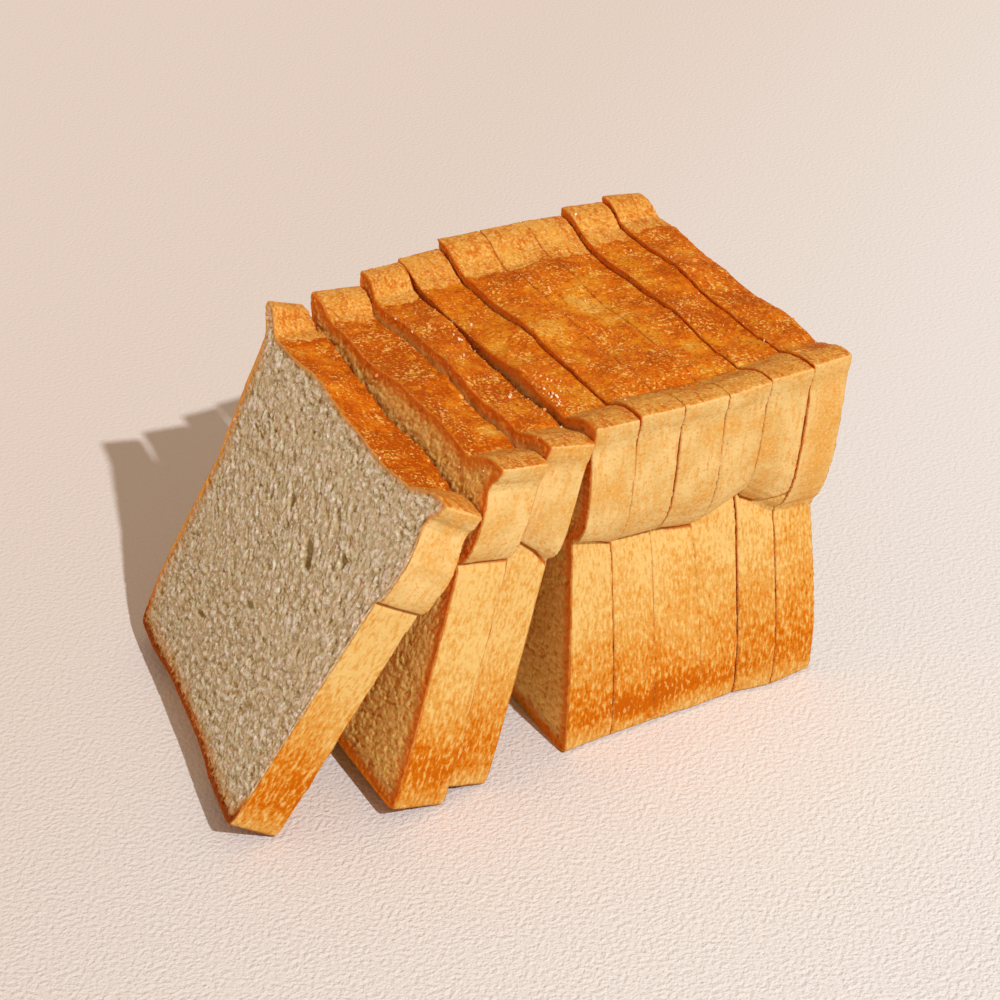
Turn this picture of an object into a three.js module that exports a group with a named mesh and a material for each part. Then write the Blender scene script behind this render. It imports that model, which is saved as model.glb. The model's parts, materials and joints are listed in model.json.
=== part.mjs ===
// A sliced tin loaf. Millimetres, +Z up, the loaf's length along Y, its width along X.
//
// Nine slices: six stand in a block at +Y, two lean back against it, and the first one
// leans on those with a twist. Every slice is one closed solid between two knife cuts.
// It is described by its cross-sections at those cuts. Slices whose crumb lies close share
// the section between them, and the others have settled apart and each have their own.
import * as THREE from "three";

// ---- The loaf -------------------------------------------------------------------------
const LOAF_HEIGHT = 113; // base to rim
const SLICE_PITCH = 14.4; // from cut to cut
const KERF = 0.5; // gap that the knife left between standing slices
const BLOCK_LEAN = 4.7; // degrees that the standing block leans back

const STEPS_SIDE = 30; // segments up each side of a section
const STEPS_ACROSS = 24; // segments along the top and along the base
const BANDS = 2; // bands of faces from one cut to the next
const TWISTED_RINGS = 6; // rings of faces on a twisted cut; a flat one needs a single ring
const CUT_CENTRE = 67; // height of the point that the faces of a cut spread from

// ---- The top --------------------------------------------------------------------------
// Two smooth strips run along the rim, and the browned middle lies lower between them.
const RIM_DROP = 0.4; // how far the rim's tip is under its crown
const RIM_ROUND = 0.9; // width over which the rim rounds over
const STRIP_CROWN = 5; // flat part of each strip beside the rim
const CREASE_SINK = 0.8; // the fold where a strip meets the middle
const CREASE_WIDTH = 2.2;
const STRIP_EDGE = { near: 43.5, far: 46 }; // distance of that fold from the centre line
const SWELLS = [
  // Low swells that cross the middle: height, length across, phase, drift from cut to cut
  { height: 0.8, length: 66, phase: 2.9, drift: 1.9 },
  { height: 0.5, length: 31, phase: 4.7, drift: -1.3 },
];

// ---- The base -------------------------------------------------------------------------
const BASE_ROUND = 2.6; // radius of the base's long edges
const ARCH_FOOT = 42; // the base is flat outside this distance from the centre line
const ARCH_CROWN = 14; // and at full arch inside this one

// ---- The sections, from cut to cut ----------------------------------------------------
// On each side rim, neck, belly, fold and foot are half-widths, and foldHeight is where the
// fold lies. Over it the risen part of the loaf bulges out through the height of the
// overhang, and under it the side turns outwards at a knee. Sink is how far the middle of
// the top lies under the rim, and arch how far the base's middle has lifted.
const FOOT_HEIGHT = 16;
const NECK_UNDER_RIM = 7.5;
const FLARE_UNDER_RIM = 3.8; // height under LOAF_HEIGHT where the neck has flared to the rim
const KNEE = 0.38; // how far the knee lies under the fold, as a share of the overhang
const sections = [
  {
    near: { rim: 63.0, neck: 59.6, belly: 62.3, fold: 60.0, foldHeight: 78.6, overhang: 2.5, foot: 59.4 },
    far: { rim: 57.1, neck: 51.4, belly: 50.4, fold: 49.2, foldHeight: 62, overhang: 20, foot: 55.7 },
    sink: 5.6, arch: 2.4,
  },
  {
    near: { rim: 61.8, neck: 60.0, belly: 64.0, fold: 60.2, foldHeight: 79, overhang: 5, foot: 58.8 },
    far: { rim: 60.0, neck: 55.4, belly: 54.8, fold: 50.4, foldHeight: 66, overhang: 16, foot: 56.6 },
    sink: 1.8, arch: 2.2,
  },
  {
    near: { rim: 62.9, neck: 58.9, belly: 60.4, fold: 54.6, foldHeight: 79, overhang: 6, foot: 59.2 },
    far: { rim: 62.0, neck: 57.6, belly: 57.2, fold: 50.6, foldHeight: 67, overhang: 14, foot: 57.2 },
    sink: 3.0, arch: 0.6,
  },
  {
    near: { rim: 62.0, neck: 60.0, belly: 60.0, fold: 55.0, foldHeight: 79.5, overhang: 9, foot: 58.0 },
    far: { rim: 60.5, neck: 57.0, belly: 57.0, fold: 50.4, foldHeight: 69, overhang: 12, foot: 57.2 },
    sink: 3.4, arch: 0.6,
  },
  {
    near: { rim: 63.8, neck: 62.6, belly: 62.8, fold: 56.7, foldHeight: 74, overhang: 5, foot: 57.8 },
    far: { rim: 61.0, neck: 57.8, belly: 57.8, fold: 50.0, foldHeight: 69.5, overhang: 12, foot: 57.2 },
    sink: 4.2, arch: 0.6,
  },
  {
    near: { rim: 62.6, neck: 61.0, belly: 61.2, fold: 52.8, foldHeight: 71.5, overhang: 8, foot: 56.0 },
    far: { rim: 63.2, neck: 59.4, belly: 59.6, fold: 49.6, foldHeight: 69, overhang: 11, foot: 57.2 },
    sink: 3.9, arch: 1.5,
  },
  {
    near: { rim: 63.2, neck: 61.6, belly: 61.0, fold: 49.6, foldHeight: 65.5, overhang: 13, foot: 55.4 },
    far: { rim: 63.4, neck: 60.0, belly: 60.0, fold: 49.0, foldHeight: 67, overhang: 12, foot: 56.8 },
    sink: 3.9, arch: 0.8,
  },
  {
    near: { rim: 63.0, neck: 61.2, belly: 60.4, fold: 47.8, foldHeight: 64.0, overhang: 13, foot: 55.6 },
    far: { rim: 63.4, neck: 60.2, belly: 60.0, fold: 48.4, foldHeight: 66, overhang: 12, foot: 56.4 },
    sink: 3.9, arch: 0,
  },
  {
    near: { rim: 63.2, neck: 61.4, belly: 60.4, fold: 46.4, foldHeight: 61.5, overhang: 15, foot: 56.2 },
    far: { rim: 62.2, neck: 59.6, belly: 59.4, fold: 48.0, foldHeight: 64, overhang: 14, foot: 56.4 },
    sink: 3.9, arch: 0,
  },
  {
    near: { rim: 62.6, neck: 60.8, belly: 59.6, fold: 47.6, foldHeight: 67.5, overhang: 13, foot: 55.6 },
    far: { rim: 62.4, neck: 59.4, belly: 59.0, fold: 48.6, foldHeight: 62, overhang: 14, foot: 56.8 },
    sink: 3.9, arch: 0,
  },
  {
    near: { rim: 62.6, neck: 61.2, belly: 60.4, fold: 49.4, foldHeight: 58.5, overhang: 15, foot: 58.0 },
    far: { rim: 61.2, neck: 59.0, belly: 58.6, fold: 49.0, foldHeight: 58, overhang: 16, foot: 57.0 },
    sink: 3.9, arch: 0,
  },
  {
    near: { rim: 60.6, neck: 59.4, belly: 58.6, fold: 48.4, foldHeight: 56.5, overhang: 19, foot: 56.8 },
    far: { rim: 61.2, neck: 58.6, belly: 58.2, fold: 49.2, foldHeight: 52, overhang: 20, foot: 56.6 },
    sink: 3.9, arch: 0,
  },
];

// ---- The slices -----------------------------------------------------------------------
// Cuts are the sections at a slice's front and back. Lifts raise the rim over LOAF_HEIGHT at
// the front and the back cut.
//
// A leaning slice turns on its lower back edge: x and y place that edge, and lean, twist
// (lean added at the near side and taken off at the far side) and yaw are in degrees. The
// thickness is given at the base and at the rim.
const TWIST_SPAN = 58; // half-width over which the twist and the lifts change
const leaningSlices = [
  {
    cuts: [0, 1], thickness: [16.0, 13.3], x: -9.6, y: -81.0,
    lean: 29.2, twist: 4.8, yaw: -9.5, nearLift: [4.4, 4.6], farLift: [3.4, 3.4],
  },
  {
    cuts: [2, 3], thickness: [17.6, 15.1], x: 1.5, y: -42.1,
    lean: 18.6, twist: 0, yaw: 0, nearLift: [0.1, 2.0], farLift: [-2.2, 1.5],
  },
  {
    cuts: [3, 4], thickness: [13.8, 12.9], x: -0.5, y: -27.1,
    lean: 18.1, twist: 0, yaw: 0, nearLift: [1.3, 3.3], farLift: [0.9, 4.3],
  },
];

// A standing slice keeps its base on the table. The knife wandered a little: wander is how
// far its front cut and its back cut are off at the base.
const standingSlices = [
  { cuts: [5, 6], wander: [0, 2.2], nearLift: [1.6, 0.8], farLift: [-1.4, -1.7] },
  { cuts: [6, 7], wander: [2.2, 1.8], nearLift: [1.8, 0.4], farLift: [1.5, 0.6] },
  { cuts: [7, 8], wander: [1.8, 3.2], nearLift: [0.4, -0.2], farLift: [0.6, 0.4] },
  { cuts: [8, 9], wander: [3.2, 1.8], nearLift: [-0.2, -0.4], farLift: [0.4, -1.4] },
  { cuts: [9, 10], wander: [1.8, -0.6], nearLift: [0.2, -0.4], farLift: [1.4, 0.3] },
  { cuts: [10, 11], wander: [-0.6, 0], nearLift: [0.4, -0.8], farLift: [2.2, -0.2] },
];

const CRUST_COLOUR = 0xd9964e;
const CRUMB_COLOUR = 0xd6c6a4;

// ---- Small helpers --------------------------------------------------------------------
const mix = THREE.MathUtils.lerp;
const radians = THREE.MathUtils.degToRad;
const ease = THREE.MathUtils.smoothstep;

// ---- The cross-section at one cut -----------------------------------------------------
// One side as a curve of [half-width, height], from the base up to the rim's tip. The knots
// between the named half-widths and heights lie at shares of the way from one to the next.
function sideCurve(side) {
  const { rim, neck, belly, fold, foldHeight, overhang, foot } = side;
  const knee = foldHeight - overhang * KNEE;
  const ledge = foldHeight + overhang;
  const neckHeight = LOAF_HEIGHT - NECK_UNDER_RIM;
  const knots = [
    [foot - BASE_ROUND * 1.6, 0],
    [foot - BASE_ROUND * 0.5, BASE_ROUND * 0.35],
    [foot - 0.4, BASE_ROUND * 1.6],
    [foot, FOOT_HEIGHT],
    [mix(foot, fold, 0.28), mix(FOOT_HEIGHT, knee, 0.42)],
    [mix(foot, fold, 0.58), mix(FOOT_HEIGHT, knee, 0.76)],
    [mix(foot, fold, 0.82), knee],
    [fold, foldHeight],
    [mix(fold, belly, 0.42), foldHeight + overhang * 0.35],
    [mix(fold, belly, 0.8), ledge],
    [belly, mix(ledge, neckHeight, 0.55)],
    [neck, neckHeight],
    [mix(neck, rim, 0.72), LOAF_HEIGHT - FLARE_UNDER_RIM],
    [rim, LOAF_HEIGHT - RIM_DROP],
  ];
  const points = knots.map(([x, z]) => new THREE.Vector3(x, 0, z));
  return new THREE.CatmullRomCurve3(points, false, "centripetal").getPoints(STEPS_SIDE);
}

// How far the top lies over or under LOAF_HEIGHT at x. Positive x is the near side.
function topRelief(x, cut) {
  const { near, far, sink } = sections[cut];
  const nearX = x > 0;
  const rim = nearX ? near.rim : far.rim;
  const stripEdge = nearX ? STRIP_EDGE.near : STRIP_EDGE.far;
  const fromRim = rim - Math.abs(x);
  const rounding = RIM_DROP * Math.max(0, 1 - fromRim / RIM_ROUND) ** 2;
  const sunk = ease(fromRim, STRIP_CROWN, rim - stripEdge);
  const crease = CREASE_SINK * Math.exp(-(((Math.abs(x) - stripEdge) / CREASE_WIDTH) ** 2));
  let swell = 0;
  for (const { height, length, phase, drift } of SWELLS) {
    swell += height * Math.sin((2 * Math.PI * x) / length + phase + drift * cut);
  }
  return -rounding - sink * sunk - crease + swell * sunk;
}

// Points from the far side to the near side, close together at both ends.
function across(farX, nearX, height) {
  const points = [];
  for (let i = 0; i <= STEPS_ACROSS; i += 1) {
    const x = mix(-farX, nearX, (1 - Math.cos((Math.PI * i) / STEPS_ACROSS)) / 2);
    points.push(new THREE.Vector3(x, 0, height(x)));
  }
  return points;
}

// The section's outline at a cut as [x, 0, z] points, once round: along the base to the near
// side, up, back along the top and down the far side.
function outlineAt(cut) {
  const { near: nearSide, far: farSide, arch } = sections[cut];
  const near = sideCurve(nearSide);
  const far = sideCurve(farSide);
  far.forEach((point) => point.setX(-point.x));
  const lifted = (x) => arch * ease(ARCH_FOOT - Math.abs(x), 0, ARCH_FOOT - ARCH_CROWN);
  const base = across(-far[0].x, near[0].x, lifted);
  const top = across(-far.at(-1).x, near.at(-1).x, (x) => LOAF_HEIGHT + topRelief(x, cut));
  return [base, near, top.reverse(), far.reverse()].flatMap((points) => points.slice(0, -1));
}

// ---- Places of the slices -------------------------------------------------------------
// A point of a slice is given by x and z in its section, and by its depth, from 0 at the
// front cut to 1 at the back cut.

// How far a slice's lifts raise that point: nothing at the base, and all of it at the rim.
function liftAt({ nearLift, farLift }, x, z, depth) {
  const nearShare = ease(x, -TWIST_SPAN, TWIST_SPAN);
  const lift = mix(mix(...farLift, depth), mix(...nearLift, depth), nearShare);
  return (lift * z) / LOAF_HEIGHT;
}

// Both of these return a function that takes such a point to its place on the table.
function leaning(slice) {
  const turn = radians(slice.yaw);
  return (x, z, depth) => {
    const angle = radians(slice.lean + (slice.twist * x) / TWIST_SPAN);
    const y = -mix(...slice.thickness, z / LOAF_HEIGHT) * (1 - depth);
    const height = z + liftAt(slice, x, z, depth);
    const back = y * Math.cos(angle) + height * Math.sin(angle);
    const up = height * Math.cos(angle) - y * Math.sin(angle);
    return new THREE.Vector3(
      slice.x + x * Math.cos(turn) - back * Math.sin(turn),
      slice.y + x * Math.sin(turn) + back * Math.cos(turn),
      up,
    );
  };
}

function standing(slice, place) {
  return (x, z, depth) => {
    const sunk = 1 - z / LOAF_HEIGHT;
    const cutAt = (side) => (place + side) * SLICE_PITCH + slice.wander[side] * sunk;
    const y = mix(cutAt(0) + KERF / 2, cutAt(1) - KERF / 2, depth);
    return new THREE.Vector3(
      x,
      y + z * Math.tan(radians(BLOCK_LEAN)),
      z + liftAt(slice, x, z, depth),
    );
  };
}

// ---- The solid of one slice -----------------------------------------------------------
// Rings of corners grow from the middle of the front cut to its edge, run along the crust
// and shrink again over the back cut. A share of 1 is the outline, and 0 the centre.
function ringSteps(ringsOnCut) {
  const steps = [];
  for (let ring = 1; ring <= ringsOnCut; ring += 1) {
    steps.push({ share: ring / ringsOnCut, depth: 0 });
  }
  for (let band = 1; band <= BANDS; band += 1) {
    steps.push({ share: 1, depth: band / BANDS });
  }
  for (let ring = ringsOnCut - 1; ring > 0; ring -= 1) {
    steps.push({ share: ring / ringsOnCut, depth: 1 });
  }
  return steps;
}

function sliceGeometry(cuts, place, ringsOnCut) {
  const [frontOutline, backOutline] = cuts.map(outlineAt);
  const positions = [];
  const index = [];

  const addCorner = (x, z, depth) => {
    positions.push(...place(x, z, depth).toArray());
    return positions.length / 3 - 1;
  };
  const addRing = ({ share, depth }) =>
    frontOutline.map((front, i) => {
      const { x, z } = front.clone().lerp(backOutline[i], depth);
      return addCorner(x * share, mix(CUT_CENTRE, z, share), depth);
    });

  const frontCentre = addCorner(0, CUT_CENTRE, 0);
  const rings = ringSteps(ringsOnCut).map(addRing);
  const backCentre = addCorner(0, CUT_CENTRE, 1);

  const count = frontOutline.length;
  for (let i = 0; i < count; i += 1) {
    const next = (i + 1) % count;
    index.push(frontCentre, rings[0][i], rings[0][next]);
    for (let ring = 1; ring < rings.length; ring += 1) {
      const [before, after] = [rings[ring - 1], rings[ring]];
      index.push(before[i], after[i], after[next]);
      index.push(before[i], after[next], before[next]);
    }
    index.push(backCentre, rings.at(-1)[next], rings.at(-1)[i]);
  }

  const geometry = new THREE.BufferGeometry();
  geometry.setAttribute("position", new THREE.Float32BufferAttribute(positions, 3));
  geometry.setIndex(index);
  geometry.computeVertexNormals();
  return geometry;
}

function sliceMesh(number, cuts, place, { isTwisted, colour }) {
  const geometry = sliceGeometry(cuts, place, isTwisted ? TWISTED_RINGS : 1);
  const material = new THREE.MeshStandardMaterial({ color: colour, roughness: 0.8, metalness: 0 });
  const mesh = new THREE.Mesh(geometry, material);
  mesh.name = `slice_${number}`;
  return mesh;
}

// ---- The loaf on the table ------------------------------------------------------------
// Slice 1 shows its whole cut face, and the others mostly their crust.
const loaf = new THREE.Group();
leaningSlices.forEach((slice, i) => {
  const look = { isTwisted: slice.twist !== 0, colour: i === 0 ? CRUMB_COLOUR : CRUST_COLOUR };
  loaf.add(sliceMesh(i + 1, slice.cuts, leaning(slice), look));
});
standingSlices.forEach((slice, i) => {
  const look = { isTwisted: false, colour: CRUST_COLOUR };
  const number = leaningSlices.length + i + 1;
  loaf.add(sliceMesh(number, slice.cuts, standing(slice, i), look));
});

// The origin is under the middle of the whole, on the table.
const box = new THREE.Box3().setFromObject(loaf);
const middle = box.getCenter(new THREE.Vector3());
loaf.position.set(-middle.x, -middle.y, -box.min.z);

export default loaf;
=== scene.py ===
"""The sliced tin loaf: baked crust, cut crumb, loose crumbs, light and camera.

Lengths inside the classes are millimetres in the loaf's own frame unless a name says
otherwise: x across the loaf (positive on the near side), along its length from the front
face of slice 1, and z up from its base, as they were before the slices leaned over.
"""

import json
import logging
import math
from collections.abc import Callable
from dataclasses import dataclass
from enum import Enum

import bpy  # noqa: E402
import numpy as np  # noqa: E402
from mathutils import Matrix, Vector  # noqa: E402
from mathutils.bvhtree import BVHTree  # noqa: E402

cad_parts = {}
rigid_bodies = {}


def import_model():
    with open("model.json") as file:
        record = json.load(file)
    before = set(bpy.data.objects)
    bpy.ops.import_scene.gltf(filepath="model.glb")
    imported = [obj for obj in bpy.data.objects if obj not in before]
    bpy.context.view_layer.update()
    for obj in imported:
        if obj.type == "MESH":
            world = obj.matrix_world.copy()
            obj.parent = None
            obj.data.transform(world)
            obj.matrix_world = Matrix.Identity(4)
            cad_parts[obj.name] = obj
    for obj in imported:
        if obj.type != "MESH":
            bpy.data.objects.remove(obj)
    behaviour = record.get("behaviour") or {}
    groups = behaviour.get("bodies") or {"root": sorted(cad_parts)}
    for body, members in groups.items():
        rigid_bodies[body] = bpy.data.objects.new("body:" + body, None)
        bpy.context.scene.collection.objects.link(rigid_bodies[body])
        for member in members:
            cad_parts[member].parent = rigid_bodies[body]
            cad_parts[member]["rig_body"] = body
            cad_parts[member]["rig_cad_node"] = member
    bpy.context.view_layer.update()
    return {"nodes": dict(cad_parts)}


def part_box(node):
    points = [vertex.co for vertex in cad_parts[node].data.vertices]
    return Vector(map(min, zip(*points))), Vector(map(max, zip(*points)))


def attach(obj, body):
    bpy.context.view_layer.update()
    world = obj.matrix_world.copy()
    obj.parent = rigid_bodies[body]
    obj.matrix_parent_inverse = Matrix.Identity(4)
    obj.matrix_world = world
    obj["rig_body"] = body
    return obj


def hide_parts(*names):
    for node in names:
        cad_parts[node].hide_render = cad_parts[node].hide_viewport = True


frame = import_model()
LOG = logging.getLogger("tin_loaf")

MM = 0.001
MERGE_DISTANCE = 0.01 * MM
LOAF_HEIGHT = 113.0
SLICE_PITCH = 14.4
SLICE_COUNT = 9
KERF = 0.5  # gap that the knife left between standing slices
TOP_BAND = (100.0, 104.0)  # heights between which side crust turns into top crust
BODY = "root"


# ---- Helpers for meshes and node trees --------------------------------------------------
def linear(code: str) -> tuple[float, float, float, float]:
    """Turn an sRGB hex colour into linear light.

    Args:
        code: the colour as "#rrggbb".

    Returns:
        Red, green, blue and alpha for a colour socket.
    """
    shares = [int(code[i : i + 2], 16) / 255 for i in (1, 3, 5)]
    light = [s / 12.92 if s <= 0.04045 else ((s + 0.055) / 1.055) ** 2.4 for s in shares]
    return (*light, 1.0)


def add(
    tree: bpy.types.NodeTree,
    kind: str,
    feeds: dict | tuple = (),
    out: int | str = 0,
    **settings: object,
) -> bpy.types.NodeSocket:
    """Add a node with its settings and links.

    Args:
        tree: the node tree that gets the node.
        kind: the node's type name.
        feeds: what goes into its sockets, in order or by name; a socket is linked.
        out: the output that the caller wants.
        settings: the node's own properties.

    Returns:
        The chosen output socket.
    """
    made = tree.nodes.new(kind)
    for name, value in settings.items():
        setattr(made, name, value)
    pairs = feeds.items() if isinstance(feeds, dict) else enumerate(feeds)
    for key, value in pairs:
        if isinstance(value, bpy.types.NodeSocket):
            tree.links.new(value, made.inputs[key])
        elif value is not None:
            made.inputs[key].default_value = value
    return made.outputs[out]


def layer(
    tree: bpy.types.NodeTree,
    under: object,
    over: object,
    by: object,
    start: float,
    end: float,
    most: float = 1.0,
) -> bpy.types.NodeSocket:
    """Lay one colour over another where a field passes from start to end.

    Args:
        tree: the material's node tree.
        under: colour, or socket, that shows where the field is at start.
        over: colour, or socket, that shows where the field is at end.
        by: the field.
        start: field value where the upper colour begins.
        end: field value where it has reached its most.
        most: largest share of the upper colour.

    Returns:
        The mixed colour.
    """
    share = add(
        tree,
        "ShaderNodeMapRange",
        (by, start, end, 0.0, most),
        interpolation_type="SMOOTHSTEP",
    )
    return add(tree, "ShaderNodeMix", {0: share, 6: under, 7: over}, 2, data_type="RGBA")


def coats(
    tree: bpy.types.NodeTree, under: object, *layers: tuple[object, object, float, float, float]
) -> bpy.types.NodeSocket:
    """Lay several colours over one another, in order.

    Args:
        tree: the material's node tree.
        under: the hex colour or socket that they start from.
        layers: for each, its hex colour or socket, and field, start, end and most as in layer.

    Returns:
        The mixed colour.
    """
    colour = linear(under) if isinstance(under, str) else under
    for over, by, start, end, most in layers:
        over = linear(over) if isinstance(over, str) else over
        colour = layer(tree, colour, over, by, start, end, most)
    return colour


def pile(
    tree: bpy.types.NodeTree,
    under: object,
    by: object,
    start: float,
    end: float,
    height: object,
) -> bpy.types.NodeSocket:
    """Add a height that grows where a field passes from start to end.

    Args:
        tree: the node tree.
        under: the height so far.
        by: the field.
        start: field value where the added height is 0.
        end: field value where it is whole.
        height: the added height, a number or a socket.

    Returns:
        The new height.
    """
    share = add(
        tree,
        "ShaderNodeMapRange",
        (by, start, end, 0.0, 1.0),
        interpolation_type="SMOOTHSTEP",
    )
    return add(tree, "ShaderNodeMath", (share, height, under), operation="MULTIPLY_ADD")


def noise(
    tree: bpy.types.NodeTree,
    place: bpy.types.NodeSocket,
    grain: float,
    detail: float = 2.0,
    stretch: tuple[float, float, float] = (1.0, 1.0, 1.0),
) -> bpy.types.NodeSocket:
    """Add a cloudy field whose lumps are a given size.

    Args:
        tree: the node tree.
        place: where the field is read, in millimetres.
        grain: size of the lumps in millimetres.
        detail: how many finer octaves it has.
        stretch: how many times longer the lumps are along each axis.

    Returns:
        The field, about 0.5 on average.
    """
    scaled = add(
        tree,
        "ShaderNodeVectorMath",
        (place, tuple(1 / (grain * s) for s in stretch)),
        operation="MULTIPLY",
    )
    return add(tree, "ShaderNodeTexNoise", {"Vector": scaled, "Scale": 1.0, "Detail": detail})


def make_material(
    name: str, shader: Callable[[bpy.types.NodeTree], bpy.types.NodeSocket]
) -> bpy.types.Material:
    """Make a material from the method that adds its shader.

    Args:
        name: the material's name.
        shader: adds the nodes to an empty tree and returns the shader's socket.

    Returns:
        The material.
    """
    made = bpy.data.materials.new(name)
    made.use_nodes = True
    tree = made.node_tree
    tree.nodes.clear()
    output = tree.nodes.new("ShaderNodeOutputMaterial")
    tree.links.new(shader(tree), output.inputs[0])
    return made


def read(
    source: bpy.types.bpy_prop_collection, key: str, width: int = 1, kind: type = np.float32
) -> np.ndarray:
    """Read one property of every item of a collection.

    Args:
        source: the collection, such as a mesh's vertices.
        key: the property's name.
        width: how many numbers it has.
        kind: type of the numbers.

    Returns:
        One row for each item, or one number where the width is 1.
    """
    values = np.empty(len(source) * width, kind)
    source.foreach_get(key, values)
    return values.reshape(-1, width) if width > 1 else values


def select_only(obj: bpy.types.Object) -> None:
    """Select one object and make it the active one.

    Args:
        obj: the object.
    """
    bpy.ops.object.select_all(action="DESELECT")
    obj.hide_set(False)
    obj.select_set(True)
    bpy.context.view_layer.objects.active = obj


def edit_faces(
    obj: bpy.types.Object,
    chosen: np.ndarray,
    operator: Callable[..., set[str]],
    **options: object,
) -> None:
    """Run one edit mode operator on chosen faces.

    Args:
        obj: the mesh object.
        chosen: for each face, whether it is selected.
        operator: the operator of bpy.ops.mesh.
        options: the operator's own options.
    """
    select_only(obj)
    bpy.ops.object.mode_set(mode="EDIT")
    bpy.ops.mesh.select_mode(type="FACE")
    bpy.ops.mesh.select_all(action="DESELECT")
    bpy.ops.object.mode_set(mode="OBJECT")
    obj.data.polygons.foreach_set("select", np.asarray(chosen, bool))
    bpy.ops.object.mode_set(mode="EDIT")
    operator(**options)
    bpy.ops.object.mode_set(mode="OBJECT")


def apply_modifier(obj: bpy.types.Object, name: str, kind: str, **settings: object) -> None:
    """Add a modifier with its settings and apply it.

    Args:
        obj: the mesh object.
        name: the modifier's name.
        kind: its type.
        settings: its own properties.
    """
    select_only(obj)
    modifier = obj.modifiers.new(name, kind)
    for key, value in settings.items():
        setattr(modifier, key, value)
    bpy.ops.object.modifier_apply(modifier=modifier.name)


def ease(value: np.ndarray, start: float, end: float) -> np.ndarray:
    """Go smoothly from 0 at start to 1 at end."""
    share = np.clip((value - start) / (end - start), 0, 1)
    return share * share * (3 - 2 * share)


# ---- Where the slices stand -------------------------------------------------------------
def lift_at(pose: "LeaningPose | StandingPose", x: np.ndarray, depth: np.ndarray) -> np.ndarray:
    """How far the rim of a slice rises over the loaf's height.

    Args:
        pose: the slice's pose, with a lift at each corner of its rim.
        x: places across the slice.
        depth: places from 0 at the front cut to 1 at the back one.

    Returns:
        The lift of the rim in millimetres over each place.
    """
    far = pose.far_lift[0] + (pose.far_lift[1] - pose.far_lift[0]) * depth
    near = pose.near_lift[0] + (pose.near_lift[1] - pose.near_lift[0]) * depth
    return far + (near - far) * ease(x, -pose.half_width, pose.half_width)


@dataclass(frozen=True)
class LeaningPose:
    """A slice that turned on its lower back edge; the same sizes as its solid's."""

    at_base: float
    at_rim: float
    edge_x: float
    edge_y: float
    lean: float
    twist: float
    yaw: float
    near_lift: tuple[float, float]
    far_lift: tuple[float, float]
    half_width: float = 58.0

    @property
    def thickness(self) -> float:
        """Thickness half way up."""
        return (self.at_base + self.at_rim) / 2

    def to_slice(self, world: np.ndarray) -> np.ndarray:
        """Take points back to the upright slice.

        Args:
            world: points on the table in millimetres.

        Returns:
            Points as across, depth from 0 at the front cut to 1 at the back one, and height.
        """
        turn = math.radians(self.yaw)
        right, ahead = world[:, 0] - self.edge_x, world[:, 1] - self.edge_y
        x = right * math.cos(turn) + ahead * math.sin(turn)
        back = ahead * math.cos(turn) - right * math.sin(turn)
        angle = np.radians(self.lean + self.twist * x / self.half_width)
        behind = back * np.cos(angle) - world[:, 2] * np.sin(angle)
        risen = back * np.sin(angle) + world[:, 2] * np.cos(angle)
        z = risen
        # The lift depends on the depth and the depth on the height, so both are found in steps
        for _ in range(4):
            depth = behind / (self.at_base + (self.at_rim - self.at_base) * z / LOAF_HEIGHT) + 1
            z = risen / (1 + lift_at(self, x, depth) / LOAF_HEIGHT)
        return np.stack([x, depth, z], axis=1)

    def upright(self) -> Matrix:
        """Turn that stands the slice up, with its cuts square to Y."""
        stand = Matrix.Rotation(math.radians(self.lean), 4, "X")
        return stand @ Matrix.Rotation(-math.radians(self.yaw), 4, "Z")


@dataclass(frozen=True)
class StandingPose:
    """A slice of the standing block; the same sizes as its solid's."""

    place: int
    wander: tuple[float, float]
    near_lift: tuple[float, float]
    far_lift: tuple[float, float]
    kerf: float = KERF
    block_lean: float = 4.7
    thickness: float = SLICE_PITCH
    half_width: float = 58.0

    def to_slice(self, world: np.ndarray) -> np.ndarray:
        """Take points back to the upright slice, as LeaningPose does.

        Args:
            world: points on the table in millimetres.

        Returns:
            Points as across, depth from 0 to 1, and height.
        """
        x, z = world[:, 0], world[:, 2]
        for _ in range(4):
            slack = 1 - z / LOAF_HEIGHT
            front = self.place * SLICE_PITCH + self.wander[0] * slack + self.kerf / 2
            back = (self.place + 1) * SLICE_PITCH + self.wander[1] * slack - self.kerf / 2
            y = world[:, 1] - z * math.tan(math.radians(self.block_lean))
            depth = (y - front) / (back - front)
            z = world[:, 2] / (1 + lift_at(self, x, depth) / LOAF_HEIGHT)
        return np.stack([x, depth, z], axis=1)

    def upright(self) -> Matrix:
        """Turn that stands the slice up, with its cuts square to Y."""
        return Matrix.Rotation(math.radians(self.block_lean), 4, "X")


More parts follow.
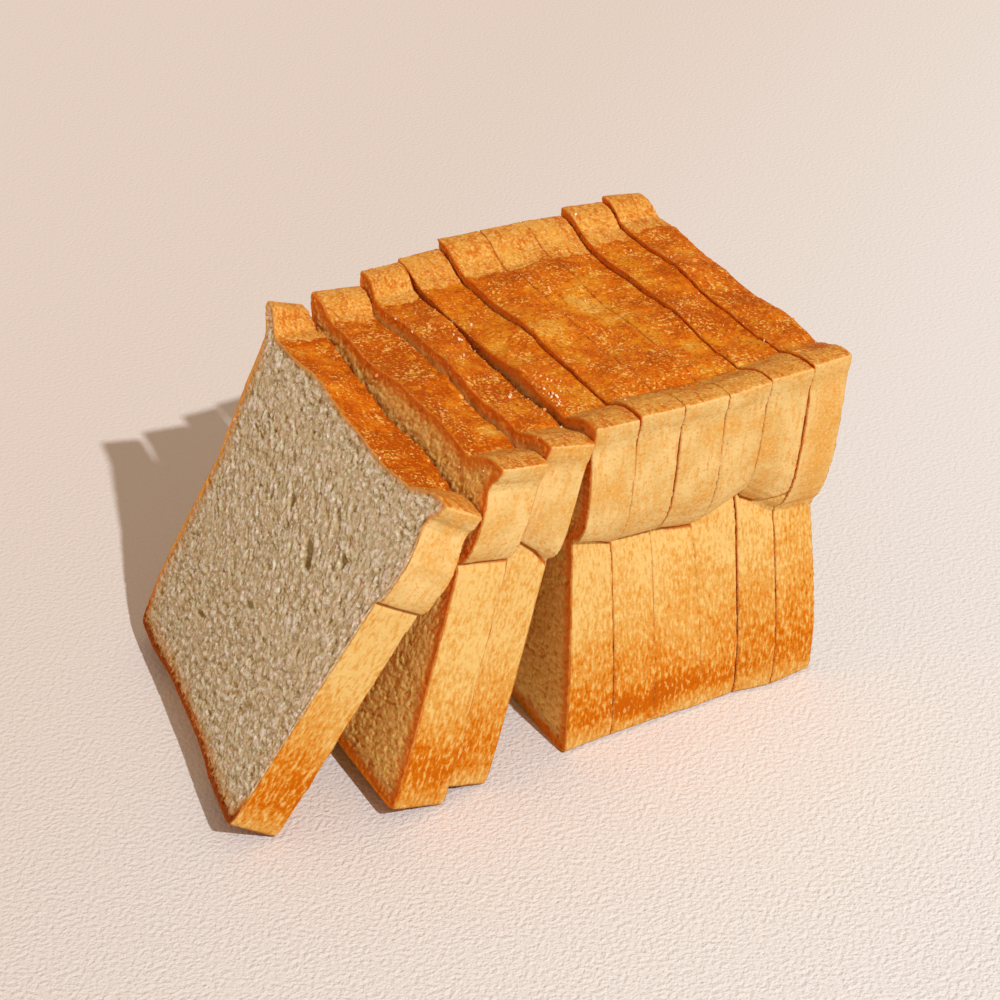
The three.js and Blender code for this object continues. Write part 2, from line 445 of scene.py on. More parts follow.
# ---- The finishes -----------------------------------------------------------------------
@dataclass(frozen=True)
class Crumb:
    """Cut crumb of white milk bread: an open foam of thin walls, torn a little by the knife.

    It is matt, and its cells look darker and more olive than the pale walls between them, partly by
    their own colour and partly by painted shade in the hollows.
    Cells lie flat over the base and under the top, stand upright beside the near side, and
    slope in between. The finest foam, a few tenths of a millimetre, is drawn at about 1 mm,
    which is as fine as it still shows.
    """

    wall: str = "#d9c5a0"
    # Cell colour: partly the crumb's own, partly painted shade in the hollows
    gap: str = "#a58a54"
    # Painted shade inside the bubbles that the knife opened
    hole_shade: str = "#8f763a"
    # Pale torn walls and clumps, partly painted highlight on the lit cuts
    clump_highlight: str = "#faf0de"
    warm: str = "#cf9c5c"
    rim: str = "#c2680f"
    rim_gold: str = "#dc9240"
    # Dark band along the bottom of a cut: the dark bottom crust, partly painted shade under the
    # raised base
    rim_dark: str = "#7a330b"
    # Shaded copies of wall, cell and rim colours for cuts in the shade of the next slice: painted
    # bounce light and glow, brighter and more orange than the lit crumb
    shade_wall: str = "#fbcc74"
    shade_gap: str = "#dd9030"
    shade_rim: str = "#e07a18"
    roughness: float = 0.95
    glow: float = 0.5
    glow_reach: tuple[float, float, float] = (1.0, 0.42, 0.12)
    glow_length: float = 9.0
    flat_angle: float = 76.0
    slope_angle: float = -52.0
    upright_angle: float = 10.0
    low_zone: tuple[float, float] = (38.0, 56.0)
    top_zone: tuple[float, float] = (88.0, 100.0)
    near_zone: tuple[float, float] = (36.0, 50.0)
    large_cell: tuple[float, float] = (2.5, 4.6)
    small_cell: tuple[float, float] = (1.15, 2.3)
    strand: float = 1.6
    strand_stretch: tuple[float, float, float] = (1.0, 1.0, 2.4)
    wander_scale: float = 0.42
    wander: tuple[float, float, float] = (4.0, 4.0, 4.0)

    def _turned(
        self, tree: bpy.types.NodeTree, loaf: bpy.types.NodeSocket
    ) -> list[bpy.types.NodeSocket]:
        """Turn the place in the loaf so that Z follows the grain of each zone.

        Args:
            tree: the node tree.
            loaf: place in the loaf.

        Returns:
            The place turned for the flat, the sloping and the upright grain.
        """
        return [
            add(
                tree,
                "ShaderNodeVectorRotate",
                {"Vector": loaf, "Angle": -math.radians(angle)},
                rotation_type="Y_AXIS",
            )
            for angle in (self.flat_angle, self.slope_angle, self.upright_angle)
        ]

    def _cells(
        self, tree: bpy.types.NodeTree, loaf: bpy.types.NodeSocket, width: float, length: float
    ) -> bpy.types.NodeSocket:
        """Read how far a point is from the walls of its cell, in the grain of each zone.

        Args:
            tree: the node tree.
            loaf: place in the loaf.
            width: width of a cell.
            length: length of a cell.

        Returns:
            Distance to the nearest wall, in cell widths.
        """
        readings = []
        for turned in self._turned(tree, loaf):
            scaled = add(
                tree,
                "ShaderNodeVectorMath",
                (turned, (1 / width, 1 / width, 1 / length)),
                operation="MULTIPLY",
            )
            readings.append(
                add(
                    tree,
                    "ShaderNodeTexVoronoi",
                    {"Vector": scaled, "Scale": 1.0},
                    feature="DISTANCE_TO_EDGE",
                )
            )
        return self._by_zone(tree, loaf, readings)

    def _bent(self, tree: bpy.types.NodeTree, loaf: bpy.types.NodeSocket) -> bpy.types.NodeSocket:
        """Make the place in the loaf wander, so that no cell or strand runs straight.

        Args:
            tree: the node tree.
            loaf: place in the loaf.

        Returns:
            The wandering place.
        """
        wobble = add(
            tree,
            "ShaderNodeTexNoise",
            {"Vector": loaf, "Scale": self.wander_scale, "Detail": 2.0},
            "Color",
        )
        centred = add(tree, "ShaderNodeVectorMath", (wobble, (0.5, 0.5, 0.5)), operation="SUBTRACT")
        return add(
            tree, "ShaderNodeVectorMath", (centred, self.wander, loaf), operation="MULTIPLY_ADD"
        )

    def fibres(
        self, tree: bpy.types.NodeTree, loaf: bpy.types.NodeSocket
    ) -> bpy.types.NodeSocket:
        """Read the torn strands between the cells, long in the grain of each zone.

        Args:
            tree: the node tree, of a material or of geometry.
            loaf: place in the loaf.

        Returns:
            A field that is low on a strand and high between them.
        """
        bent = self._bent(tree, loaf)
        readings = [
            noise(tree, turned, self.strand, 4.0, self.strand_stretch)
            for turned in self._turned(tree, bent)
        ]
        return self._by_zone(tree, loaf, readings)

    def _by_zone(
        self,
        tree: bpy.types.NodeTree,
        loaf: bpy.types.NodeSocket,
        readings: list[bpy.types.NodeSocket],
    ) -> bpy.types.NodeSocket:
        """Choose between the flat, sloping and upright readings by the place in the loaf.

        Args:
            tree: the node tree.
            loaf: place in the loaf.
            readings: the flat, the sloping and the upright reading.

        Returns:
            The mixed reading.
        """
        across, _, height = add(tree, "ShaderNodeSeparateXYZ", (loaf,)).node.outputs
        near, low, top = (
            add(tree, "ShaderNodeMapRange", (by, *zone), interpolation_type="SMOOTHSTEP")
            for by, zone in (
                (across, self.near_zone),
                (height, self.low_zone),
                (height, self.top_zone),
            )
        )
        flat, slope, upright = readings
        middle = add(tree, "ShaderNodeMix", (near, None, slope, upright))
        lower = add(tree, "ShaderNodeMix", (low, None, flat, middle))
        return add(tree, "ShaderNodeMix", (top, None, lower, flat))

    def cells(
        self, tree: bpy.types.NodeTree, loaf: bpy.types.NodeSocket
    ) -> tuple[bpy.types.NodeSocket, bpy.types.NodeSocket]:
        """Read the large and the small cells.

        Args:
            tree: the node tree, of a material or of geometry.
            loaf: place in the loaf.

        Returns:
            How deep a point lies in a large cell and in a small one, from 0 to 1.
        """
        bent = self._bent(tree, loaf)
        pick = noise(tree, loaf, 4.0, 1.0)
        large = self._cells(tree, bent, *self.large_cell)
        large = add(
            tree, "ShaderNodeMapRange", (large, 0.04, 0.34), interpolation_type="SMOOTHSTEP"
        )
        rare = add(
            tree, "ShaderNodeMapRange", (pick, 0.52, 0.66), interpolation_type="SMOOTHSTEP"
        )
        large = add(tree, "ShaderNodeMath", (large, rare), operation="MULTIPLY")
        small = self._cells(tree, bent, *self.small_cell)
        small = add(
            tree, "ShaderNodeMapRange", (small, 0.02, 0.32), interpolation_type="SMOOTHSTEP"
        )
        return large, small

    def shader(self, tree: bpy.types.NodeTree) -> bpy.types.NodeSocket:
        """Add the crumb's shader, which reads the attributes of a surveyed slice.

        Args:
            tree: the material's node tree.

        Returns:
            The shader.
        """
        loaf = add(tree, "ShaderNodeAttribute", out="Vector", attribute_name="loaf")
        rind, hole, skin, shaded = (
            add(tree, "ShaderNodeAttribute", out="Fac", attribute_name=name)
            for name in ("rind", "hole", "skin", "shaded")
        )
        large, small = self.cells(tree, loaf)
        fibres = self.fibres(tree, loaf)
        clouds = noise(tree, loaf, 9.0, 3.0)
        fine = noise(tree, loaf, 1.1, 4.0)
        # On cuts in the shade of the next slice the colours turn into their shaded copies as painted
        # bounce light and glow, and the torn walls lose their pale highlight
        pale = layer(tree, linear(self.wall), linear(self.shade_wall), shaded, 0.2, 0.8)
        dark = layer(tree, linear(self.gap), linear(self.shade_gap), shaded, 0.2, 0.8)
        clump_highlight = layer(tree, linear(self.clump_highlight), pale, shaded, 0.2, 0.8)

        # How far a point is from the crust, in skin thicknesses, with a ragged edge
        ragged = noise(tree, loaf, 1.4, 3.0)
        share = add(tree, "ShaderNodeMath", (rind, skin), operation="DIVIDE")
        ragged = add(tree, "ShaderNodeMath", (ragged, -1.6, share), operation="MULTIPLY_ADD")
        height = add(tree, "ShaderNodeSeparateXYZ", (loaf,), out=2)
        rim = layer(tree, linear(self.rim), linear(self.rim_gold), height, 8.0, 20.0)
        # Darker towards the bottom of the cut: the dark bottom crust, partly painted shade under the
        # raised base
        base_crust_and_shade = add(tree, "ShaderNodeMath", (height, 0.1, ragged), operation="MULTIPLY_ADD")

        # Where a slice stands in the shade of the next one, its rim next to the crust is painted
        # orange: partly the browned crust's section, partly painted glow and bounce light
        smooth = add(tree, "ShaderNodeMath", (fine, -5.0, rind), operation="MULTIPLY_ADD")
        browned = add(
            tree, "ShaderNodeMapRange", (smooth, 4.0, -1.0), interpolation_type="SMOOTHSTEP"
        )
        browned = add(tree, "ShaderNodeMath", (browned, shaded), operation="MULTIPLY")
        # Darker cells, strands and bubbles are partly painted shade in the hollows; pale clumps on
        # the strands are partly painted highlight
        colour = coats(
            tree,
            pale,
            (dark, fibres, 0.51, 0.65, 0.7),
            (dark, fine, 0.47, 0.34, 0.45),
            (dark, small, 0.2, 1.0, 0.35),
            (dark, large, 0.1, 0.8, 0.85),
            (clump_highlight, fibres, 0.47, 0.35, 0.8),
            (clump_highlight, fine, 0.56, 0.66, 0.85),
            (self.warm, clouds, 0.5, 0.75, 0.2),
            (self.hole_shade, hole, 0.15, 0.8, 0.6),
            (self.warm, ragged, 1.6, -0.4, 0.7),
            (rim, ragged, 0.1, -0.6, 0.95),
            (self.rim_dark, base_crust_and_shade, 0.2, -0.35, 0.85),
            (self.shade_rim, browned, 0.0, 1.0, 0.85),
        )
        bump = add(
            tree,
            "ShaderNodeBump",
            {"Height": noise(tree, loaf, 0.8, 3.0), "Strength": 0.7, "Distance": 0.35 * MM},
        )
        return add(
            tree,
            "ShaderNodeBsdfPrincipled",
            {
                "Base Color": colour,
                "Roughness": self.roughness,
                "Normal": bump,
                "IOR": 1.4,
                "Specular IOR Level": 0.1,
                "Subsurface Weight": self.glow,
                "Subsurface Radius": self.glow_reach,
                "Subsurface Scale": self.glow_length * MM,
            },
        )


@dataclass(frozen=True)
class Crust:
    """Baked crust of a pan loaf: an egg-brown, faintly glossy skin on top, matt on the sides.

    The lid-browned middle of the top is mottled, the strips beside it and the bulging upper
    side are pale gold, and the lower side was browned by the tin in upright streaks.
    """

    top_brown: str = "#d3690c"
    top_dark: str = "#b04a04"
    top_gold: str = "#df8b1b"
    top_cream: str = "#e8b04e"
    strip: str = "#dc993e"
    strip_brown: str = "#c8680f"
    # Pale flecks of blisters and crumbs, partly painted glints
    fleck_and_glint: str = "#f0be60"
    upper: str = "#dab069"
    upper_pale: str = "#e5c07c"
    upper_gold: str = "#dc9f4a"
    lower: str = "#e1ba70"
    lower_gold: str = "#d59a46"
    lower_brown: str = "#cb7208"
    lower_dark: str = "#b95500"
    base: str = "#9c4a10"
    # Painted shade in the fold's crease, at the strip edges and along open cuts
    crease_and_seam_shade: str = "#b35a10"
    # Pale torn edges and grain, also used for the painted highlight along the rim and the cut edges
    pale_and_highlight: str = "#ecc686"
    roughness: float = 0.5
    side_roughness: float = 0.8

    def shader(self, tree: bpy.types.NodeTree) -> bpy.types.NodeSocket:
        """Add the crust's shader, which reads the attributes of a surveyed slice.

        Args:
            tree: the material's node tree.

        Returns:
            The shader.
        """
        loaf = add(tree, "ShaderNodeAttribute", out="Vector", attribute_name="loaf")
        top, fold, groove, edge, seam = (
            add(tree, "ShaderNodeAttribute", out="Fac", attribute_name=name)
            for name in ("top", "fold", "groove", "edge", "seam")
        )
        height = add(tree, "ShaderNodeSeparateXYZ", (loaf,), out=2)
        # Painted highlight: a pale line along the rim, where the side turns into the top
        rim_highlight = add(tree, "ShaderNodeMath", (top, 0.5, 0.35), operation="COMPARE")
        torn = noise(tree, loaf, 2.4, 3.0)
        # Pale torn crust along the cut edges, partly painted highlight on the lit edges
        cut_edge = add(tree, "ShaderNodeMath", (torn, -1.6, edge), operation="MULTIPLY_ADD")
        colour = coats(
            tree,
            self._lower_side(tree, loaf, height),
            (self._upper_side(tree, loaf), fold, -0.4, 1.2, 1.0),
            (self._top(tree, loaf), top, 0.35, 0.65, 1.0),
            (self.pale_and_highlight, rim_highlight, 0.0, 1.0, 0.4),
            # Painted shade in the fold's crease and at the strip edges
            (self.crease_and_seam_shade, groove, 0.35, 0.9, 0.9),
            (self.base, height, 1.6, 0.2, 0.9),
            # Painted shade of the open cuts along the crust's edges
            (self.crease_and_seam_shade, seam, 0.1, 0.9, 0.9),
            (self.pale_and_highlight, cut_edge, -0.5, -0.9, 0.5),
        )
        gloss = add(tree, "ShaderNodeMapRange", (top, 0.3, 0.7, self.side_roughness, self.roughness))
        bump = add(
            tree,
            "ShaderNodeBump",
            {"Height": noise(tree, loaf, 1.0, 4.0), "Strength": 0.8, "Distance": 0.4 * MM},
        )
        return add(
            tree,
            "ShaderNodeBsdfPrincipled",
            {
                "Base Color": colour,
                "Roughness": gloss,
                "IOR": 1.45,
                "Specular IOR Level": 0.06,
                "Normal": bump,
            },
        )

    def _top(self, tree: bpy.types.NodeTree, loaf: bpy.types.NodeSocket) -> bpy.types.NodeSocket:
        """Colour the top: a mottled brown middle between two golden strips.

        Args:
            tree: the material's node tree.
            loaf: place in the loaf.

        Returns:
            The colour.
        """
        strip, tone = (
            add(tree, "ShaderNodeAttribute", out="Fac", attribute_name=name)
            for name in ("strip", "tone")
        )
        blotches = noise(tree, loaf, 12.0, 5.0)
        blotches = add(tree, "ShaderNodeMath", (tone, 0.22, blotches), operation="MULTIPLY_ADD")
        mottle = noise(tree, loaf, 2.6, 4.0)
        grain = noise(tree, loaf, 0.9, 3.0)
        streaks = noise(tree, loaf, 2.0, 3.0, (3.0, 1.0, 1.0))

        # Flecks of burst blisters and crumbs, partly painted glints, crowded in places; the finest
        # are drawn at 1 mm to show
        flecks = noise(tree, loaf, 1.0, 2.0)
        crowd = noise(tree, loaf, 9.0, 2.0)
        dotted = add(tree, "ShaderNodeMath", (crowd, 0.45, flecks), operation="MULTIPLY_ADD")
        browned = coats(
            tree,
            self.top_brown,
            (self.top_gold, blotches, 0.48, 0.64, 0.95),
            (self.top_cream, blotches, 0.6, 0.82, 0.9),
            (self.top_dark, blotches, 0.46, 0.32, 0.75),
            (self.top_dark, mottle, 0.45, 0.34, 0.5),
            (self.top_gold, mottle, 0.53, 0.64, 0.65),
            (self.top_dark, grain, 0.47, 0.34, 0.75),
            (self.top_gold, grain, 0.55, 0.66, 0.75),
            (self.fleck_and_glint, dotted, 0.82, 0.9, 0.85),
        )
        strips = coats(
            tree,
            self.strip,
            (self.strip_brown, streaks, 0.48, 0.62, 0.8),
            (self.strip_brown, grain, 0.47, 0.35, 0.75),
            (self.pale_and_highlight, grain, 0.54, 0.66, 0.55),
            (self.top_cream, blotches, 0.52, 0.7, 0.6),
            (self.fleck_and_glint, dotted, 0.82, 0.92, 0.8),
        )
        wavering = add(tree, "ShaderNodeMath", (mottle, 3.0, strip), operation="MULTIPLY_ADD")
        return layer(tree, strips, browned, wavering, 1.0, 2.2)

    def _upper_side(
        self, tree: bpy.types.NodeTree, loaf: bpy.types.NodeSocket
    ) -> bpy.types.NodeSocket:
        """Colour the bulging upper side: smooth pale tan with faint upright streaks.

        Args:
            tree: the material's node tree.
            loaf: place in the loaf.

        Returns:
            The colour.
        """
        stain = add(tree, "ShaderNodeAttribute", out="Fac", attribute_name="stain")
        clouds = noise(tree, loaf, 12.0, 4.0)
        streaks = noise(tree, loaf, 1.4, 3.0, (1.0, 1.0, 4.0))
        grain = noise(tree, loaf, 0.9, 3.0)
        return coats(
            tree,
            self.upper,
            (self.upper_pale, clouds, 0.42, 0.6, 1.0),
            (self.upper_gold, stain, 0.0, 0.6, 0.8),
            (self.upper_gold, clouds, 0.46, 0.32, 0.7),
            (self.upper_gold, streaks, 0.49, 0.64, 0.65),
            (self.upper_pale, grain, 0.52, 0.66, 0.6),
            (self.lower_brown, grain, 0.44, 0.3, 0.5),
        )

    def _lower_side(
        self,
        tree: bpy.types.NodeTree,
        loaf: bpy.types.NodeSocket,
        height: bpy.types.NodeSocket,
    ) -> bpy.types.NodeSocket:
        """Colour the lower side: pale under the fold, browned between upright dashes below.

        Args:
            tree: the material's node tree.
            loaf: place in the loaf.
            height: height in the loaf.

        Returns:
            The colour.
        """
        stain = add(tree, "ShaderNodeAttribute", out="Fac", attribute_name="stain")
        patches = noise(tree, loaf, 13.0, 3.0)
        dashes = noise(tree, loaf, 0.9, 3.0, (1.0, 1.0, 2.6))
        grain = noise(tree, loaf, 0.8, 3.0)
        baked, faded = (
            add(tree, "ShaderNodeMapRange", (height, *reach), interpolation_type="SMOOTHSTEP")
            for reach in ((62.0, 10.0), (11.0, 1.0, 0.0, 0.55))
        )
        baked = add(tree, "ShaderNodeMath", (baked, faded), operation="SUBTRACT")
        for pattern, weight in ((patches, 1.2), (dashes, -2.8), (grain, -1.2), (stain, 1.0)):
            baked = add(tree, "ShaderNodeMath", (pattern, weight, baked), operation="MULTIPLY_ADD")
        return coats(
            tree,
            self.lower,
            (self.lower_gold, baked, -1.65, -0.8, 1.0),
            (self.lower_brown, baked, -0.95, -0.05, 1.0),
            (self.lower_dark, baked, -0.3, 0.3, 0.8),
            (self.lower, dashes, 0.56, 0.66, 0.6),
        )


@dataclass(frozen=True)
class Bread:
    """Sliced bread: crust round the slice and crumb on its cuts, meeting at the cuts' edges."""

    crumb: Crumb = Crumb()
    crust: Crust = Crust()

    def shader(self, tree: bpy.types.NodeTree) -> bpy.types.NodeSocket:
        """Add the shader that every slice wears.

        Args:
            tree: the material's node tree.

        Returns:
            The shader.
        """
        edge, rind = (
            add(tree, "ShaderNodeAttribute", out="Fac", attribute_name=name)
            for name in ("edge", "rind")
        )
        inside = add(tree, "ShaderNodeMath", (rind, edge), operation="SUBTRACT")
        cut = add(tree, "ShaderNodeMapRange", (inside, -0.15, 0.2), interpolation_type="SMOOTHSTEP")
        shaders = (cut, self.crust.shader(tree), self.crumb.shader(tree))
        return add(tree, "ShaderNodeMixShader", shaders)


@dataclass(frozen=True)
class Plaster:
    """Smoothed plaster table top: pale and matt, with trowelled grain, deeper at the front."""

    colour: str = "#e1d7ce"
    # Colour of the painted pool of light on the lit side of the table
    painted_light: str = "#eef0ef"
    roughness: float = 0.9
    grain: float = 1.5
    front: tuple[float, float, float] = (0.895, -0.445, 0.0)
    lit_side: tuple[float, float, float] = (0.366, 0.287, 0.0)

    def shader(self, tree: bpy.types.NodeTree) -> bpy.types.NodeSocket:
        """Add the table top's shader, in metres.

        Args:
            tree: the material's node tree.

        Returns:
            The shader.
        """
        place = add(tree, "ShaderNodeTexCoord", out="Object")
        towards_front, towards_light = (
            add(
                tree,
                "ShaderNodeVectorMath",
                (place, direction),
                "Value",
                operation="DOT_PRODUCT",
            )
            for direction in (self.front, self.lit_side)
        )
        worn = add(tree, "ShaderNodeMapRange", (towards_front, -0.15, 0.12, 0.35, 1.0))
        relief = noise(tree, place, self.grain * MM, 2.0)
        bump = add(
            tree, "ShaderNodeBump", {"Height": relief, "Strength": worn, "Distance": 0.8 * MM}
        )
        # Painted light: the table is painted lighter and a little cooler towards the side where the
        # key light falls
        colour = layer(tree, linear(self.colour), linear(self.painted_light), towards_light, -0.1, 0.12)
        return add(
            tree,
            "ShaderNodeBsdfPrincipled",
            {"Base Color": colour, "Roughness": self.roughness, "Normal": bump},
        )


# ---- The slices -------------------------------------------------------------------------
class Cut(Enum):
    """The two knife cuts of a slice."""

    FRONT = 0
    BACK = 1


@dataclass(frozen=True)
class Hole:
    """A larger bubble that the knife opened in the crumb."""

    x: float
    z: float
    width: float
    length: float
    angle: float
    depth: float

    def depth_at(self, x: np.ndarray, z: np.ndarray) -> np.ndarray:
        """Work out how deep it is at points of the cut.

        Args:
            x: places across the slice.
            z: their heights.

        Returns:
            The depth in millimetres.
        """
        turn = math.radians(self.angle)
        along = (x - self.x) * math.sin(turn) + (z - self.z) * math.cos(turn)
        beside = (x - self.x) * math.cos(turn) - (z - self.z) * math.sin(turn)
        reach = np.hypot(along / (self.length / 2), beside / (self.width / 2))
        return self.depth * ease(reach, 1.1, 0.55)


@dataclass(frozen=True)
class Patch:
    """A part of the crust whose tone differs: across is x on the top and height on a side."""

    across: float
    along: float
    tone: float
    half_across: float = 8.0
    half_along: float = 5.0

    def tone_at(self, across: np.ndarray, along: np.ndarray) -> np.ndarray:
        """Work out its tone at points of the loaf.

        Args:
            across: places across the patch.
            along: places along the loaf.

        Returns:
            The tone, which fades away from the patch's middle.
        """
        sideways = (across - self.across) / self.half_across
        lengthways = (along - self.along) / self.half_along
        return self.tone * np.exp(-(sideways**2) - lengthways**2)


@dataclass(frozen=True)
class Kerf:
    """How far the two slices at a knife cut have closed up again, as shares of the kerf."""

    top_far: float
    top_near: float
    upper: float
    lower: float
    half_width: float = 0.23

    def closing(self, x: np.ndarray, z: np.ndarray, fold: np.ndarray) -> np.ndarray:
        """Work out how far one face of the cut moves out, at points of the section.

        Args:
            x: places across the slice.
            z: their heights.
            fold: how far they are over the fold of the side.

        Returns:
            The move in millimetres.
        """
        top = self.top_far + (self.top_near - self.top_far) * ease(x, -30, 30)
        near_side = self.lower + (self.upper - self.lower) * ease(fold, -2, 2)
        side = np.where(x > 0, near_side, 0.5 * (self.upper + self.lower))
        return self.half_width * (side + (top - side) * ease(z, TOP_BAND[0], TOP_BAND[1] + 3))


OPEN_KERF = Kerf(0.0, 0.0, 0.0, 0.0)

# The cuts that have closed up, by the number of the slice in front of them
CLOSED_KERFS = {
    4: Kerf(0.5, 0.5, 1.35, 0.9),
    5: Kerf(1.1, 1.1, 0.45, 1.6),
    6: Kerf(1.1, 1.1, 1.4, 1.8),
    7: Kerf(0.3, 1.0, 1.1, 0.4),
    8: Kerf(0.6, 0.8, -0.1, 1.0),
}


@dataclass
class Slice:
    """One slice: the survey of its surface, its relief and its dress."""

    number: int
    pose: LeaningPose | StandingPose
    fold_line: tuple[tuple[float, float], ...]
    far_fold: tuple[float, float]
    strip_near: float
    strip_far: float
    groove_depth: float = 1.0
    fine_cuts: tuple[Cut, ...] = ()
    voxel: float = 0.8
    holes: tuple[Hole, ...] = ()
    top_skin: float = 3.0
    cut_band: float = 0.45
    keep_band: float = 3.0
    thinning: float = 0.12
    base_skin: float = 4.8
    near_skin: float = 0.1
    far_skin: float = 2.8
    crust_span: float = 0.2
    offset: tuple[float, float] = (0.0, 0.0)

    @property
    def name(self) -> str:
        """Name of the CAD node that the piece stands for."""
        return f"slice_{self.number}"

    @property
    def front_kerf(self) -> Kerf:
        """The cut in front of the slice."""
        return CLOSED_KERFS.get(self.number - 1, OPEN_KERF)

    @property
    def back_kerf(self) -> Kerf:
        """The cut behind the slice."""
        return CLOSED_KERFS.get(self.number, OPEN_KERF)

    def build(self, finish: bpy.types.Material, relief: "Relief") -> bpy.types.Object:
        """Build and dress the slice.

        Args:
            finish: material of crust and crumb.
            relief: the relief that every slice gets.

        Returns:
            The finished piece.
        """
        piece = self._copy_node()
        shell = self._crust_shell(piece)
        solid = self._spare_copy(piece)
        upright = self.pose.upright()
        piece.data.transform(upright)
        apply_modifier(piece, "even_mesh", "REMESH", mode="VOXEL", voxel_size=self.voxel * MM)
        piece.data.transform(upright.inverted())
        self._refine(piece, shell)
        apply_modifier(piece, "crisp_edges", "SHRINKWRAP", target=solid, wrap_mode="ON_SURFACE")
        bpy.data.objects.remove(solid)
        self._write_survey(piece, shell)
        relief.apply(piece)
        piece.data.materials.clear()
        piece.data.materials.append(finish)
        piece.data.polygons.foreach_set("use_smooth", np.ones(len(piece.data.polygons), bool))
        piece.data.update()
        return piece

    def _copy_node(self) -> bpy.types.Object:
        """Copy the CAD node and merge its loose triangles.

        Returns:
            The copy, which rides on nothing yet.
        """
        node = frame["nodes"][self.name]
        select_only(node)
        bpy.ops.object.duplicate()
        piece = bpy.context.view_layer.objects.active
        piece.name = f"bread_{self.number}"
        piece.data.name = piece.name
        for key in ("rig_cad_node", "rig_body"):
            if key in piece:
                del piece[key]
        piece.parent = None
        everything = np.ones(len(piece.data.polygons), bool)
        edit_faces(piece, everything, bpy.ops.mesh.remove_doubles, threshold=MERGE_DISTANCE)
        return piece

    @staticmethod
    def _spare_copy(piece: bpy.types.Object) -> bpy.types.Object:
        """Copy the merged solid, so that the finer mesh can be laid back on it.

        Args:
            piece: the merged solid.

        Returns:
            Its copy.
        """
        select_only(piece)
        bpy.ops.object.duplicate()
        return bpy.context.view_layer.objects.active

    def _measure(self, mesh: bpy.types.Mesh) -> np.ndarray:
        """Read every vertex as across, depth and height of the upright slice.

        Args:
            mesh: the slice's mesh.

        Returns:
            One row for each vertex.
        """
        world = read(mesh.vertices, "co", 3).astype(float) / MM
        world[:, 0] -= self.offset[0]
        world[:, 1] -= self.offset[1]
        return self.pose.to_slice(world)

    def _crust_shell(self, piece: bpy.types.Object) -> BVHTree:
        """Take the crust faces of the merged copy, which run from cut to cut.

        Args:
            piece: the merged copy.

        Returns:
            The faces, to measure distances from the crust.
        """
        depth = self._measure(piece.data)[:, 1]
        corners = [Vector(v.co) for v in piece.data.vertices]
        faces = [tuple(face.vertices) for face in piece.data.polygons]
        crust = [face for face in faces if np.ptp(depth[list(face)]) > self.crust_span]
        return BVHTree.FromPolygons(corners, crust)

    def _survey(self, mesh: bpy.types.Mesh, shell: BVHTree) -> dict[str, np.ndarray]:
        """Work out what the finishes and reliefs read at each vertex.

        Args:
            mesh: the slice's mesh.
            shell: its crust faces.

        Returns:
            One array for each attribute, in millimetres or as a share.
        """
        x, depth, z = self._measure(mesh).T
        along = (self.number - 1 + depth) * SLICE_PITCH
        edge = np.clip(np.minimum(depth, 1 - depth) * self.pose.thickness, 0, None)
        rind = np.array([shell.find_nearest(v.co)[3] for v in mesh.vertices]) / MM
        fold = self._over_fold(x, depth, z, along)

        # The edges of the strips waver a little from slice to slice
        wobble = 0.7 * np.sin(along / 2.1) + 0.5 * np.sin(along / 0.83 + 1.0)
        strip = np.where(x > 0, self.strip_near, self.strip_far) + wobble - np.abs(x)

        # In the slice's section, whether the surface looks up or sideways
        normals = read(mesh.vertices, "normal", 3)
        turn = np.array(self.pose.upright().to_3x3())
        facing = normals @ turn.T
        upward = facing[:, 2] / np.maximum(np.hypot(facing[:, 0], facing[:, 2]), 1e-6)
        high = ease(z, *TOP_BAND)
        top = ease(upward, 0.45, 0.75) * high
        # The fold's groove is pressed in by the relief and painted with the crease's shade colour;
        # the strip edges get a fainter one
        strength = np.where(x > 0, self.groove_depth, 0.4)
        groove = np.exp(-((fold / 0.75) ** 2)) * (1 - high) * strength
        groove = np.maximum(groove, 0.3 * np.exp(-((strip / 0.6) ** 2)) * high)

        # Bubbles of the front cut
        on_front = depth < 0.5
        hole = np.zeros_like(x)
        for bubble in self.holes:
            hole = np.maximum(hole, bubble.depth_at(x, z) * on_front)

        # The edges of a cut move together where it has closed up; along the rest, a dark line on the
        # crust's edge is painted shade of the open cut
        closing = np.where(
            on_front, self.front_kerf.closing(x, z, fold), self.back_kerf.closing(x, z, fold)
        )
        outward = turn.T @ np.array([0, 1, 0])
        push = (closing * ease(edge, 1.4, 0.3) * np.where(on_front, -1, 1))[:, None] * outward
        kerf = np.where(on_front, self.front_kerf.half_width, self.back_kerf.half_width)
        seam = ease(edge, 0.7, 0.1) * np.clip(1 - closing / kerf, 0, 1) * (1 - 0.5 * high)
        # Cuts that face a neighbouring slice stand in its shade; the crumb shader paints them with
        # brighter, more orange shaded copies as painted bounce light and glow
        shaded = on_front & (self.number > 1) | ~on_front & (self.number < SLICE_COUNT)
        tone, stain = self._tones(x, z, along)

        # Crust relief moves in the plane of the section, so that the cuts stay flat
        in_section = np.array([facing[:, 0], np.zeros_like(x), facing[:, 2]]).T
        in_section /= np.maximum(np.linalg.norm(in_section, axis=1), 1e-6)[:, None]
        on_crust = ease(rind, 0.3, 0.1)[:, None]
        outwards = (in_section @ turn) * on_crust + normals * (1 - on_crust)
        return {
            "loaf": np.stack([x, along, z], axis=1),
            "edge": edge,
            "rind": rind,
            "skin": self._skin(x, z),
            "fold": fold,
            "strip": strip,
            "top": top,
            "groove": groove,
            "hole": hole,
            "push": push * MM,
            "shaded": shaded,
            "tone": tone,
            "stain": stain,
            "seam": seam,
            "outwards": outwards,
            "back": ~on_front,
        }

